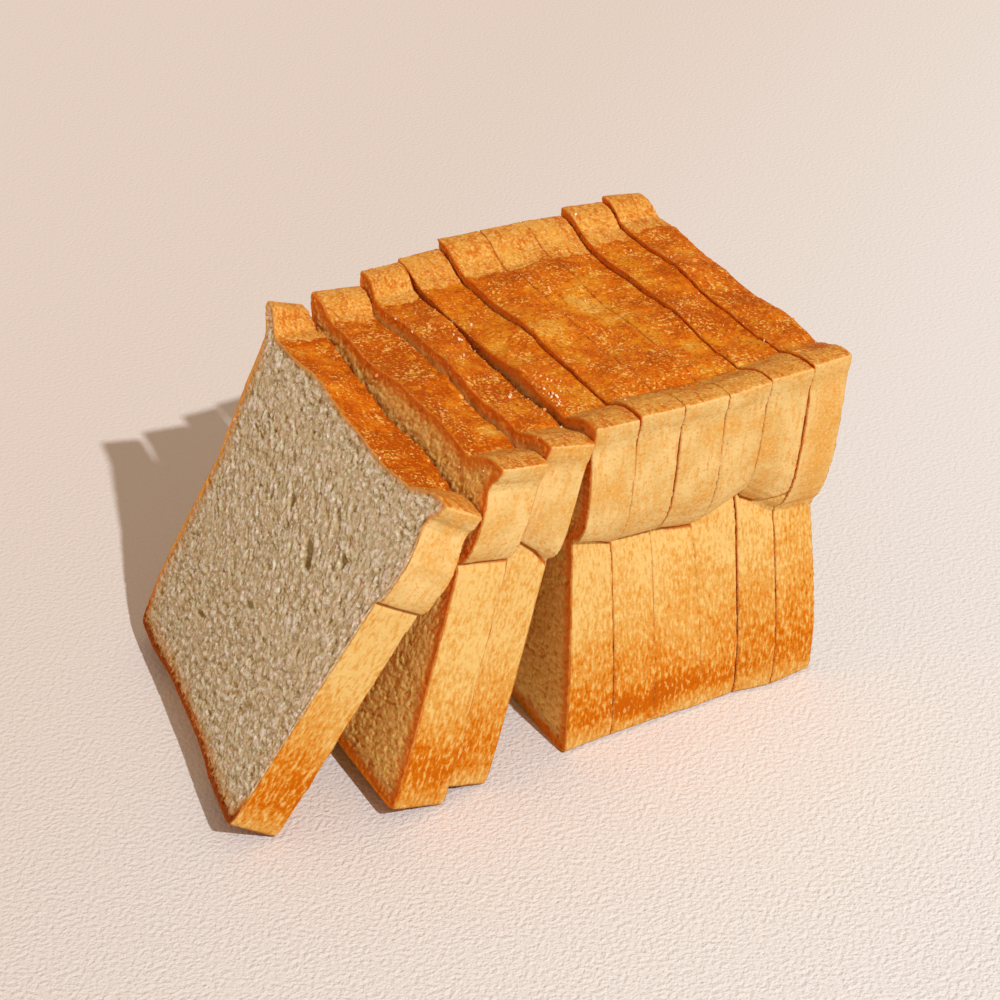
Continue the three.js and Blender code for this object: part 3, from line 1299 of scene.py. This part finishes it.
    def _over_fold(
        self, x: np.ndarray, depth: np.ndarray, z: np.ndarray, along: np.ndarray
    ) -> np.ndarray:
        """Measure how far points are over the fold of their long side.

        Args:
            x: places across the slice.
            depth: places from 0 at the front cut to 1 at the back one.
            z: their heights.
            along: places along the loaf.

        Returns:
            The distances, below zero under the fold.
        """
        near = z - np.interp(along, *zip(*self.fold_line))
        share = np.clip(depth, 0, 1)
        far = z - (self.far_fold[0] * (1 - share) + self.far_fold[1] * share)
        return np.where(x > 0, near, far)

    def _skin(self, x: np.ndarray, z: np.ndarray) -> np.ndarray:
        """Work out how thick the browned skin of the crumb is.

        Args:
            x: places across the slice.
            z: their heights.

        Returns:
            The thickness, which is greatest over the base.
        """
        low, high = ease(z, 12, 4), ease(z, 98, 105)
        side = np.where(x > 0, self.near_skin, self.far_skin)
        return low * self.base_skin + high * self.top_skin + (1 - low - high) * side

    @staticmethod
    def _tones(
        x: np.ndarray, z: np.ndarray, along: np.ndarray
    ) -> tuple[np.ndarray, np.ndarray]:
        """Work out the tone of the top crust and the stain of the side crust.

        Args:
            x: places across the loaf.
            z: their heights.
            along: places along the loaf.

        Returns:
            The tone, below zero where the top is darker, and the stain.
        """
        tone, stain = np.zeros_like(x), np.zeros_like(x)
        for change, start, end in TOP_TONES:
            tone += change * ease(along, start, end)
        for patch in TOP_PATCHES:
            tone += patch.tone_at(x, along)
        for patch in SIDE_PATCHES:
            stain += patch.tone_at(z, along)
        return tone, stain

    def _refine(self, piece: bpy.types.Object, shell: BVHTree) -> None:
        """Subdivide what shows and thin out the cut faces that lie hidden.

        Args:
            piece: the evenly meshed slice.
            shell: its crust faces.
        """
        self._store(piece.data, self._survey(piece.data, shell), ("edge", "rind", "back"))
        is_cut, on_back, inner = self._sort_faces(piece)
        shown = ~is_cut | ~inner
        for cut in self.fine_cuts:
            shown |= is_cut & (on_back == (cut is Cut.BACK))
        edit_faces(piece, shown, bpy.ops.mesh.subdivide, number_cuts=1)
        is_cut, on_back, inner = self._sort_faces(piece)
        hidden = is_cut & inner
        for cut in self.fine_cuts:
            hidden &= on_back != (cut is Cut.BACK)
        if hidden.any():
            edit_faces(piece, hidden, bpy.ops.mesh.decimate, ratio=self.thinning)

    def _sort_faces(self, piece: bpy.types.Object) -> tuple[np.ndarray, np.ndarray, np.ndarray]:
        """Tell the faces apart by their stored survey.

        Args:
            piece: the slice.

        Returns:
            For each face, whether it is on a cut, on the back half, and away from the crust.
        """
        edge, back, rind = (self._face_means(piece, name) for name in ("edge", "back", "rind"))
        return edge < self.cut_band, back > 0.5, rind > self.keep_band

    def _write_survey(self, piece: bpy.types.Object, shell: BVHTree) -> None:
        """Write the whole survey to the mesh."""
        survey = self._survey(piece.data, shell)
        self._store(piece.data, survey, tuple(survey))

    @staticmethod
    def _store(mesh: bpy.types.Mesh, survey: dict[str, np.ndarray], names: tuple[str, ...]) -> None:
        """Store chosen arrays of a survey as attributes of the vertices.

        Args:
            mesh: the slice's mesh.
            survey: the arrays.
            names: which of them are stored.
        """
        for name in names:
            values = np.asarray(survey[name], np.float32)
            kind = "FLOAT_VECTOR" if values.ndim == 2 else "FLOAT"
            old = mesh.attributes.get(name)
            if old is not None:
                mesh.attributes.remove(old)
            stored = mesh.attributes.new(name, kind, "POINT")
            stored.data.foreach_set("vector" if values.ndim == 2 else "value", values.ravel())

    @staticmethod
    def _face_means(piece: bpy.types.Object, name: str) -> np.ndarray:
        """Average a stored attribute over the corners of each face.

        Args:
            piece: the slice.
            name: the attribute's name.

        Returns:
            One value for each face.
        """
        mesh = piece.data
        values = read(mesh.attributes[name].data, "value")
        corners = read(mesh.loops, "vertex_index", kind=np.int32)
        counts = read(mesh.polygons, "loop_total", kind=np.int32)
        starts = read(mesh.polygons, "loop_start", kind=np.int32)
        return np.add.reduceat(values[corners], starts) / counts


# ---- The relief -------------------------------------------------------------------------
@dataclass
class Relief:
    """The relief of crumb and crust, as one modifier that every slice gets and applies."""

    crumb: Crumb
    lift: float = 0.15
    large_depth: float = 0.8
    small_depth: float = 0.2
    strand_depth: float = 1.8
    fuzz_height: float = 1.0
    fuzz_width: float = 1.1
    swell_width: float = 22.0
    wrinkle_height: float = 1.1
    wrinkle_width: float = 3.4
    streak_height: float = 0.35
    streak_width: float = 1.5
    groove_depth: float = 0.9
    tree: bpy.types.NodeTree | None = None

    def _height(self, tree: bpy.types.NodeTree) -> bpy.types.NodeSocket:
        """Work out how far each point moves outwards.

        Args:
            tree: the node tree.

        Returns:
            The height in millimetres.
        """
        loaf = add(
            tree,
            "GeometryNodeInputNamedAttribute",
            {"Name": "loaf"},
            data_type="FLOAT_VECTOR",
        )
        rind, groove, hole, top, strip = (
            add(tree, "GeometryNodeInputNamedAttribute", {"Name": name}, data_type="FLOAT")
            for name in ("rind", "groove", "hole", "top", "strip")
        )

        # Cut faces: cells and torn fibres
        large, small = self.crumb.cells(tree, loaf)
        fibres = self.crumb.fibres(tree, loaf)
        fuzz = noise(tree, loaf, self.fuzz_width, 3.0)
        cut_height = add(
            tree, "ShaderNodeMath", (large, -self.large_depth, self.lift), operation="MULTIPLY_ADD"
        )
        for pattern, height in (
            (small, -self.small_depth),
            (fuzz, self.fuzz_height),
            (fibres, -self.strand_depth),
            (hole, -1.0),
        ):
            cut_height = add(
                tree, "ShaderNodeMath", (pattern, height, cut_height), operation="MULTIPLY_ADD"
            )
        clear = add(tree, "ShaderNodeMapRange", (rind, 0.3, 1.4), interpolation_type="SMOOTHSTEP")
        cut_height = add(tree, "ShaderNodeMath", (cut_height, clear), operation="MULTIPLY")

        # Crust: slow swells, wrinkles on top, upright streaks below, folds pressed in
        swell = noise(tree, loaf, self.swell_width, 2.0)
        wrinkle = noise(tree, loaf, self.wrinkle_width, 3.0, (1.0, 1.6, 1.0))
        streak = noise(tree, loaf, self.streak_width, 2.0, (1.0, 1.0, 6.0))
        crust_height = add(tree, "ShaderNodeMath", (swell, 1.0, -0.5), operation="MULTIPLY_ADD")
        wrinkle = add(tree, "ShaderNodeMath", (wrinkle, 0.5), operation="SUBTRACT")
        wrinkle = add(tree, "ShaderNodeMath", (wrinkle, self.wrinkle_height), operation="MULTIPLY")
        streak = add(tree, "ShaderNodeMath", (streak, self.streak_height), operation="MULTIPLY")
        middle = add(
            tree,
            "ShaderNodeMapRange",
            (strip, -1.0, 1.0, 0.25, 1.0),
            interpolation_type="SMOOTHSTEP",
        )
        rough = add(tree, "ShaderNodeMath", (top, middle), operation="MULTIPLY")
        crust_height = pile(tree, crust_height, rough, -0.25, 1.0, wrinkle)
        crust_height = pile(tree, crust_height, top, 0.5, 0.0, streak)
        crust_height = add(
            tree,
            "ShaderNodeMath",
            (groove, -self.groove_depth, crust_height),
            operation="MULTIPLY_ADD",
        )
        share = add(tree, "ShaderNodeMapRange", (rind, 0.3, 0.1), interpolation_type="SMOOTHSTEP")
        return add(tree, "ShaderNodeMix", (share, None, cut_height, crust_height))

    def _make(self) -> bpy.types.NodeTree:
        """Make the node group that moves the points.

        Returns:
            The node group.
        """
        tree = bpy.data.node_groups.new("bread_relief", "GeometryNodeTree")
        tree.interface.new_socket("Geometry", in_out="INPUT", socket_type="NodeSocketGeometry")
        tree.interface.new_socket("Geometry", in_out="OUTPUT", socket_type="NodeSocketGeometry")
        shape = add(tree, "NodeGroupInput")
        height = self._height(tree)
        normal, push = (
            add(tree, "GeometryNodeInputNamedAttribute", {"Name": name}, data_type="FLOAT_VECTOR")
            for name in ("outwards", "push")
        )
        metres = add(tree, "ShaderNodeMath", (height, MM), operation="MULTIPLY")
        offset = add(
            tree, "ShaderNodeVectorMath", {0: normal, "Scale": metres}, operation="SCALE"
        )
        offset = add(tree, "ShaderNodeVectorMath", (offset, push), operation="ADD")
        moved = add(tree, "GeometryNodeSetPosition", {"Geometry": shape, "Offset": offset})
        output = tree.nodes.new("NodeGroupOutput")
        tree.links.new(moved, output.inputs[0])
        return tree

    def apply(self, piece: bpy.types.Object) -> None:
        """Give a slice its relief.

        Args:
            piece: the surveyed slice.
        """
        if self.tree is None:
            self.tree = self._make()
        apply_modifier(piece, "relief", "NODES", node_group=self.tree)


# ---- Loose crumbs -----------------------------------------------------------------------
@dataclass(frozen=True)
class CrumbFleck:
    """Dry bread crumbs: matt, from creamy white inside to toasted gold where crust broke."""

    white: str = "#fae6c2"
    toasted: str = "#d6862c"
    roughness: float = 0.9

    def shader(self, tree: bpy.types.NodeTree) -> bpy.types.NodeSocket:
        """Add the crumbs' shader.

        Args:
            tree: the material's node tree.

        Returns:
            The shader.
        """
        toast = add(tree, "ShaderNodeAttribute", out="Fac", attribute_name="toast")
        colour = layer(tree, linear(self.white), linear(self.toasted), toast, 0.0, 0.75)
        return add(
            tree, "ShaderNodeBsdfPrincipled", {"Base Color": colour, "Roughness": self.roughness}
        )


@dataclass(frozen=True)
class Cluster:
    """A place on the top where the knife dropped crumbs."""

    x: float
    along: float
    count: int
    reach: float = 4.0


@dataclass
class LooseCrumbs:
    """Crumbs on the top crust, joined into one piece that lies on the finished slices."""

    clusters: tuple[Cluster, ...]
    along_cuts: int = 260
    smallest: float = 0.14
    largest: float = 0.65
    shapes: int = 5
    ruggedness: float = 0.4
    rise: float = 0.4
    stray_reach: float = 1.5
    seed: int = 11

    def _shapes(self) -> tuple[list[np.ndarray], np.ndarray]:
        """Model a few crumbs as rough balls.

        Returns:
            The points of each shape, and the faces that they all share.
        """
        points = []
        for number in range(self.shapes):
            bpy.ops.object.select_all(action="DESELECT")
            bpy.ops.mesh.primitive_ico_sphere_add(subdivisions=1, radius=1.0)
            ball = bpy.context.view_layer.objects.active
            bpy.ops.object.mode_set(mode="EDIT")
            bpy.ops.mesh.select_all(action="SELECT")
            bpy.ops.transform.vertex_random(offset=self.ruggedness, seed=number)
            bpy.ops.object.mode_set(mode="OBJECT")
            points.append(np.array([v.co for v in ball.data.vertices]))
            faces = np.array([f.vertices for f in ball.data.polygons])
            bpy.data.objects.remove(ball)
        return points, faces

    @staticmethod
    def _top_points(slices: list[bpy.types.Object]) -> dict[str, np.ndarray]:
        """Gather the points of the top crust of every slice.

        Args:
            slices: the finished slices.

        Returns:
            Their place and normal in the scene, place in the loaf, and distance from a cut.
        """
        found = {"co": [], "normal": [], "loaf": [], "edge": []}
        for piece in slices:
            mesh = piece.data
            chosen = read(mesh.attributes["top"].data, "value") > 0.9
            found["edge"].append(read(mesh.attributes["edge"].data, "value")[chosen])
            found["loaf"].append(read(mesh.attributes["loaf"].data, "vector", 3)[chosen])
            for name in ("co", "normal"):
                found[name].append(read(mesh.vertices, name, 3)[chosen])
        return {name: np.concatenate(parts) for name, parts in found.items()}

    def _places(
        self, tops: dict[str, np.ndarray], draw: np.random.Generator
    ) -> list[tuple[int, float]]:
        """Choose the points that carry a crumb: in clusters, and finer ones along the cuts.

        Args:
            tops: the points of the top crust.
            draw: the seeded source of chance.

        Returns:
            A point's number and the crumb's size in millimetres, for each crumb.
        """
        chosen = []
        span = self.largest - self.smallest
        for cluster in self.clusters:
            spots = draw.normal((cluster.x, cluster.along), cluster.reach, (cluster.count, 2))
            for spot in spots:
                nearest = int(np.argmin(((tops["loaf"][:, :2] - spot) ** 2).sum(1)))
                chosen.append((nearest, self.smallest + span * draw.random() ** 2))
        weight = np.exp(-tops["edge"] / self.stray_reach)
        strays = draw.choice(len(weight), self.along_cuts, replace=False, p=weight / weight.sum())
        chosen += [(int(stray), self.smallest + span * draw.random() ** 5) for stray in strays]
        return chosen

    def build(self, slices: list[bpy.types.Object], finish: bpy.types.Material) -> bpy.types.Object:
        """Scatter the crumbs and join them.

        Args:
            slices: the finished slices that the crumbs lie on.
            finish: material of the crumbs.

        Returns:
            The finished piece.
        """
        draw = np.random.default_rng(self.seed)
        shapes, ball_faces = self._shapes()
        tops = self._top_points(slices)
        points, faces, toasts = [], [], []
        for place, size in self._places(tops, draw):
            turn = np.array(Vector(draw.normal(size=3)).to_track_quat("Z", "Y").to_matrix())
            stretch = size * draw.uniform(0.7, 1.3, 3)
            centre = tops["co"][place] + tops["normal"][place] * size * self.rise * MM
            faces.append(ball_faces + len(points) * len(shapes[0]))
            points.append((shapes[draw.integers(self.shapes)] * stretch) @ turn.T * MM + centre)
            toasts.append(np.full(len(shapes[0]), draw.random()))
        mesh = bpy.data.meshes.new("loose_crumbs")
        mesh.from_pydata(np.concatenate(points).tolist(), [], np.concatenate(faces).tolist())
        stored = mesh.attributes.new("toast", "FLOAT", "POINT")
        stored.data.foreach_set("value", np.concatenate(toasts).astype(np.float32))
        mesh.materials.append(finish)
        mesh.update()
        crumbs = bpy.data.objects.new("loose_crumbs", mesh)
        bpy.context.collection.objects.link(crumbs)
        return crumbs


# ---- The loaf ---------------------------------------------------------------------------
@dataclass
class Loaf:
    """The nine slices in their order, and where the loaf's own origin is."""

    rim_half_width: float = 63.2  # of slice 4, on its near side

    def slices(self) -> list[Slice]:
        """List the slices with their poses and the marks that differ from one to the next.

        Returns:
            The slices from the front one to the last of the block.
        """
        return [
            Slice(
                1,
                LeaningPose(16.0, 13.3, -9.6, -81.0, 29.2, 4.8, -9.5, (4.4, 4.6), (3.4, 3.4)),
                fold_line=((0, 78.8), (14.4, 79.8)),
                far_fold=(62, 66),
                strip_near=46.0,
                strip_far=41.5,
                fine_cuts=(Cut.FRONT,),
                voxel=1.0,
                holes=FRONT_HOLES,
                top_skin=1.2,
            ),
            Slice(
                2,
                LeaningPose(17.6, 15.1, 1.5, -42.1, 18.6, 0, 0, (0.1, 2.0), (-2.2, 1.5)),
                fold_line=((14.4, 79.3), (28.8, 79.4)),
                far_fold=(67, 69),
                strip_near=44.0,
                strip_far=45.0,
                fine_cuts=(Cut.FRONT,),
                voxel=0.98,
                top_skin=1.6,
            ),
            Slice(
                3,
                LeaningPose(13.8, 12.9, -0.5, -27.1, 18.1, 0, 0, (1.3, 3.3), (0.9, 4.3)),
                fold_line=((28.8, 80.6), (31.7, 79.8), (37.6, 76.7), (43.2, 72.3)),
                far_fold=(69, 69.5),
                strip_near=45.0,
                strip_far=42.5,
            ),
            Slice(
                4,
                StandingPose(0, (0, 2.2), (1.6, 0.8), (-1.4, -1.7)),
                fold_line=((43.2, 72.4), (49.7, 69.9), (57.6, 65.4)),
                far_fold=(69, 67),
                strip_near=44.8,
                strip_far=45.6,
                fine_cuts=(Cut.FRONT,),
                voxel=0.95,
            ),
            Slice(
                5,
                StandingPose(1, (2.2, 1.8), (1.8, 0.4), (1.5, 0.6)),
                fold_line=((57.6, 66.0), (65.2, 65.2), (72, 64.0)),
                far_fold=(67, 66),
                strip_near=44.2,
                strip_far=43.6,
            ),
            Slice(
                6,
                StandingPose(2, (1.8, 3.2), (0.4, -0.2), (0.6, 0.4)),
                fold_line=((72, 65.0), (78.3, 62.5), (86.4, 60.6)),
                far_fold=(66, 64),
                strip_near=47.6,
                strip_far=42.0,
            ),
            Slice(
                7,
                StandingPose(3, (3.2, 1.8), (-0.2, -0.4), (0.4, -1.4)),
                fold_line=((86.4, 61.5), (92, 65.0), (97, 69.5), (100.8, 71.5)),
                far_fold=(64, 62),
                strip_near=46.4,
                strip_far=41.6,
                groove_depth=0.7,
            ),
            Slice(
                8,
                StandingPose(4, (1.8, -0.6), (0.2, -0.4), (1.4, 0.3)),
                fold_line=((100.8, 70.0), (102.5, 66.0), (107, 63.8), (110, 65.2), (115.2, 68.0)),
                far_fold=(62, 58),
                strip_near=45.0,
                strip_far=41.2,
            ),
            Slice(
                9,
                StandingPose(5, (-0.6, 0), (0.4, -0.8), (2.2, -0.2)),
                fold_line=((115.2, 60.0), (129.6, 57.0)),
                far_fold=(58, 52),
                strip_near=52.0,
                strip_far=41.8,
                groove_depth=0.0,
                fine_cuts=(Cut.BACK,),
                voxel=0.95,
            ),
        ]

    def offset(self) -> tuple[float, float]:
        """Read from the frame how far the loaf's own origin is from the table's."""
        lowest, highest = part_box("slice_4")
        return (highest.x / MM - self.rim_half_width, lowest.y / MM - KERF / 2)


# Where the top as a whole grows darker: over the leaning slices and at the block's end
TOP_TONES = ((-0.85, 46.0, 40.0), (-0.5, 112.0, 118.0))

TOP_PATCHES = (
    Patch(-13.9, 81.1, 1.3, 9.0, 7.0),
    Patch(1.6, 81.4, 1.0, 7.0, 4.0),
    Patch(-3.8, 60.9, 1.0, 9.0, 5.0),
    Patch(-0.8, 44.9, 0.9, 8.0, 5.0),
    Patch(10.0, 51.0, 0.7, 7.0, 4.0),
    Patch(27.7, 95.1, 0.9, 6.0, 5.0),
    Patch(-22.8, 123.7, 1.4, 6.0, 5.0),
    Patch(-5.0, 120.1, 1.2, 5.0, 4.0),
    Patch(43.8, 121.4, 1.0, 5.0, 5.0),
    Patch(-20.6, 105.9, 0.7),
    Patch(-8.6, 4.4, 1.7, 6.0, 5.0),
    Patch(11.2, 9.3, 1.2, 6.0, 4.0),
    Patch(0.3, 16.3, -0.6, 14.0, 5.0),
    Patch(17.7, 23.2, 1.3, 6.0, 5.0),
    Patch(34.6, 24.9, 1.7, 7.0, 6.0),
    Patch(-42.4, 18.9, 1.0, 5.0, 4.0),
    Patch(-3.0, 34.2, 1.3, 8.0, 4.0),
    Patch(-33.8, 30.3, 1.0),
    Patch(33.5, 35.8, 1.0, 7.0, 5.0),
    Patch(17.0, 78.0, -0.45, 8.0, 8.0),
    Patch(17.0, 104.5, -0.9, 9.0, 8.0),
    Patch(-22.0, 111.6, -0.9, 9.0, 5.0),
    Patch(-37.5, 86.0, -0.8, 8.0, 10.0),
    Patch(-36.0, 62.0, -0.7, 8.0, 12.0),
    Patch(10.1, 123.9, -0.8, 9.0, 6.0),
    Patch(1.6, 102.8, -0.7, 9.0, 6.0),
    Patch(-54.0, 90.0, 0.4, 8.0, 50.0),
    Patch(34.0, 7.0, -0.6, 12.0, 8.0),
)

SIDE_PATCHES = (
    Patch(10.2, 49.0, 0.45, 4.0, 4.0),
    Patch(13.0, 20.0, 0.5, 12.0, 14.0),
    Patch(10.5, 60.0, 0.85, 5.0, 6.0),
    Patch(11.5, 74.0, 0.75, 6.0, 7.0),
    Patch(12.0, 86.0, 0.6, 5.0, 7.0),
    Patch(9.0, 97.0, 0.4, 4.0, 6.0),
    Patch(20.0, 126.0, 0.1, 14.0, 6.0),
    Patch(85.0, 123.5, 0.55, 45.0, 7.0),
)

FRONT_HOLES = (
    Hole(20.2, 69.6, 5.4, 10.5, -52.0, 1.8),
    Hole(-11.2, 71.0, 2.4, 3.2, 0.0, 0.8),
    Hole(-0.1, 76.0, 3.4, 5.0, -50.0, 1.4),
    Hole(36.8, 77.9, 3.6, 5.4, -50.0, 1.4),
    Hole(34.4, 74.0, 2.2, 2.8, 0.0, 0.8),
    Hole(35.2, 82.7, 2.2, 3.4, -45.0, 0.6),
    Hole(-18.4, 25.4, 2.2, 8.5, 74.0, 1.0),
    Hole(-22.5, 90.9, 2.2, 3.0, 0.0, 0.6),
    Hole(-3.7, 96.4, 2.0, 3.2, 85.0, 0.6),
    Hole(5.3, 43.2, 2.8, 7.0, 80.0, 0.8),
    Hole(58.1, 74.8, 1.8, 5.0, 5.0, 0.5),
    Hole(-14.2, 46.8, 2.8, 8.0, -58.0, 0.5),
    Hole(23.5, 85.5, 3.4, 7.0, -52.0, 0.5),
    Hole(53.1, 97.0, 2.4, 6.0, -40.0, 0.4),
    Hole(40.5, 49.2, 2.2, 3.0, 0.0, 0.8),
    Hole(34.8, 50.5, 3.4, 4.6, 60.0, 0.5),
    Hole(14.0, 29.3, 1.6, 2.6, 70.0, 0.6),
    Hole(-9.2, 85.4, 2.6, 5.0, -60.0, 0.6),
)

CLUSTERS = (
    Cluster(-18.7, 40.6, 14),
    Cluster(-5.1, 39.6, 12),
    Cluster(24.7, 44.5, 26, 4.5),
    Cluster(34.4, 43.4, 30, 5.0),
    Cluster(30.0, 52.0, 14, 5.0),
    Cluster(-33.1, 70.8, 12, 5.0),
    Cluster(20.0, 17.0, 16, 6.0),
    Cluster(-25.0, 17.5, 12, 6.0),
)


# ---- Table, light and camera ------------------------------------------------------------
@dataclass(frozen=True)
class Studio:
    """Pale table, one sun-like key light, an even fill and the camera. Metres here."""

    table_size: float = 8.0
    sun_direction: tuple[float, float, float] = (0.7492, 0.1083, 0.6534)
    sun_strength: float = 2.78
    sun_angle: float = 1.2
    sun_colour: str = "#f8faff"
    fill_colour: str = "#ffe1c7"
    fill_strength: float = 0.49
    camera_place: tuple[float, float, float] = (0.63865, -0.30317, 0.51108)
    azimuth: float = 63.55
    elevation: float = 32.52
    roll: float = -2.45
    lens: float = 100.2

    def table(self) -> None:
        """Lay the table top, which isn't part of the loaf."""
        bpy.ops.object.select_all(action="DESELECT")
        bpy.ops.mesh.primitive_plane_add(size=self.table_size, location=(0, 0, 0))
        table = bpy.context.view_layer.objects.active
        table.name = "table_top"
        table.data.materials.append(make_material("smoothed_plaster", Plaster().shader))

    def light(self) -> None:
        """Add the key light and the even fill."""
        bpy.ops.object.light_add(type="SUN", location=(0, 0, 1))
        sun = bpy.context.view_layer.objects.active
        sun.rotation_euler = Vector(self.sun_direction).to_track_quat("Z", "Y").to_euler()
        sun.data.energy = self.sun_strength
        sun.data.angle = math.radians(self.sun_angle)
        sun.data.color = linear(self.sun_colour)[:3]
        world = bpy.data.worlds.new("studio_fill")
        world.use_nodes = True
        backdrop = world.node_tree.nodes["Background"]
        backdrop.inputs["Color"].default_value = linear(self.fill_colour)
        backdrop.inputs["Strength"].default_value = self.fill_strength
        bpy.context.scene.world = world

    def camera(self) -> None:
        """Place the camera."""
        az, el, roll = (math.radians(a) for a in (self.azimuth, self.elevation, self.roll))
        back = Vector((math.sin(az) * math.cos(el), -math.cos(az) * math.cos(el), math.sin(el)))
        level = Vector((0, 0, 1)).cross(back).normalized()
        upright = back.cross(level)
        right = level * math.cos(roll) + upright * math.sin(roll)
        up = upright * math.cos(roll) - level * math.sin(roll)
        bpy.ops.object.camera_add(location=self.camera_place)
        camera = bpy.context.view_layer.objects.active
        turned = Matrix((right, up, back)).transposed().to_4x4()
        camera.matrix_world = Matrix.Translation(self.camera_place) @ turned
        camera.data.lens = self.lens
        camera.data.sensor_width = 36
        camera.data.dof.use_dof = False
        bpy.context.scene.camera = camera

    def develop(self) -> None:
        """Set how light becomes colour."""
        view = bpy.context.scene.view_settings
        view.view_transform = "Standard"
        view.look = "None"
        view.exposure = 0.0
        view.gamma = 1.0


def main() -> None:
    """Build the loaf and its studio, and report each piece."""
    logging.basicConfig(level=logging.INFO, format="%(name)s: %(message)s")
    studio = Studio()
    studio.camera()
    studio.table()
    studio.light()
    studio.develop()

    bread = Bread()
    finish = make_material("baked_crust_and_cut_crumb", bread.shader)
    relief = Relief(bread.crumb)
    loaf = Loaf()
    offset = loaf.offset()
    pieces = []
    for item in loaf.slices():
        item.offset = offset
        piece = item.build(finish, relief)
        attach(piece, BODY)
        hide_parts(item.name)
        piece.data.calc_loop_triangles()
        LOG.info("%s for %s: %d triangles", piece.name, item.name, len(piece.data.loop_triangles))
        pieces.append(piece)

    crumb_finish = make_material("dry_bread_crumbs", CrumbFleck().shader)
    crumbs = LooseCrumbs(CLUSTERS).build(pieces, crumb_finish)
    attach(crumbs, BODY)
    LOG.info("%s: %d faces", crumbs.name, len(crumbs.data.polygons))


if __name__ == "__main__":
    main()
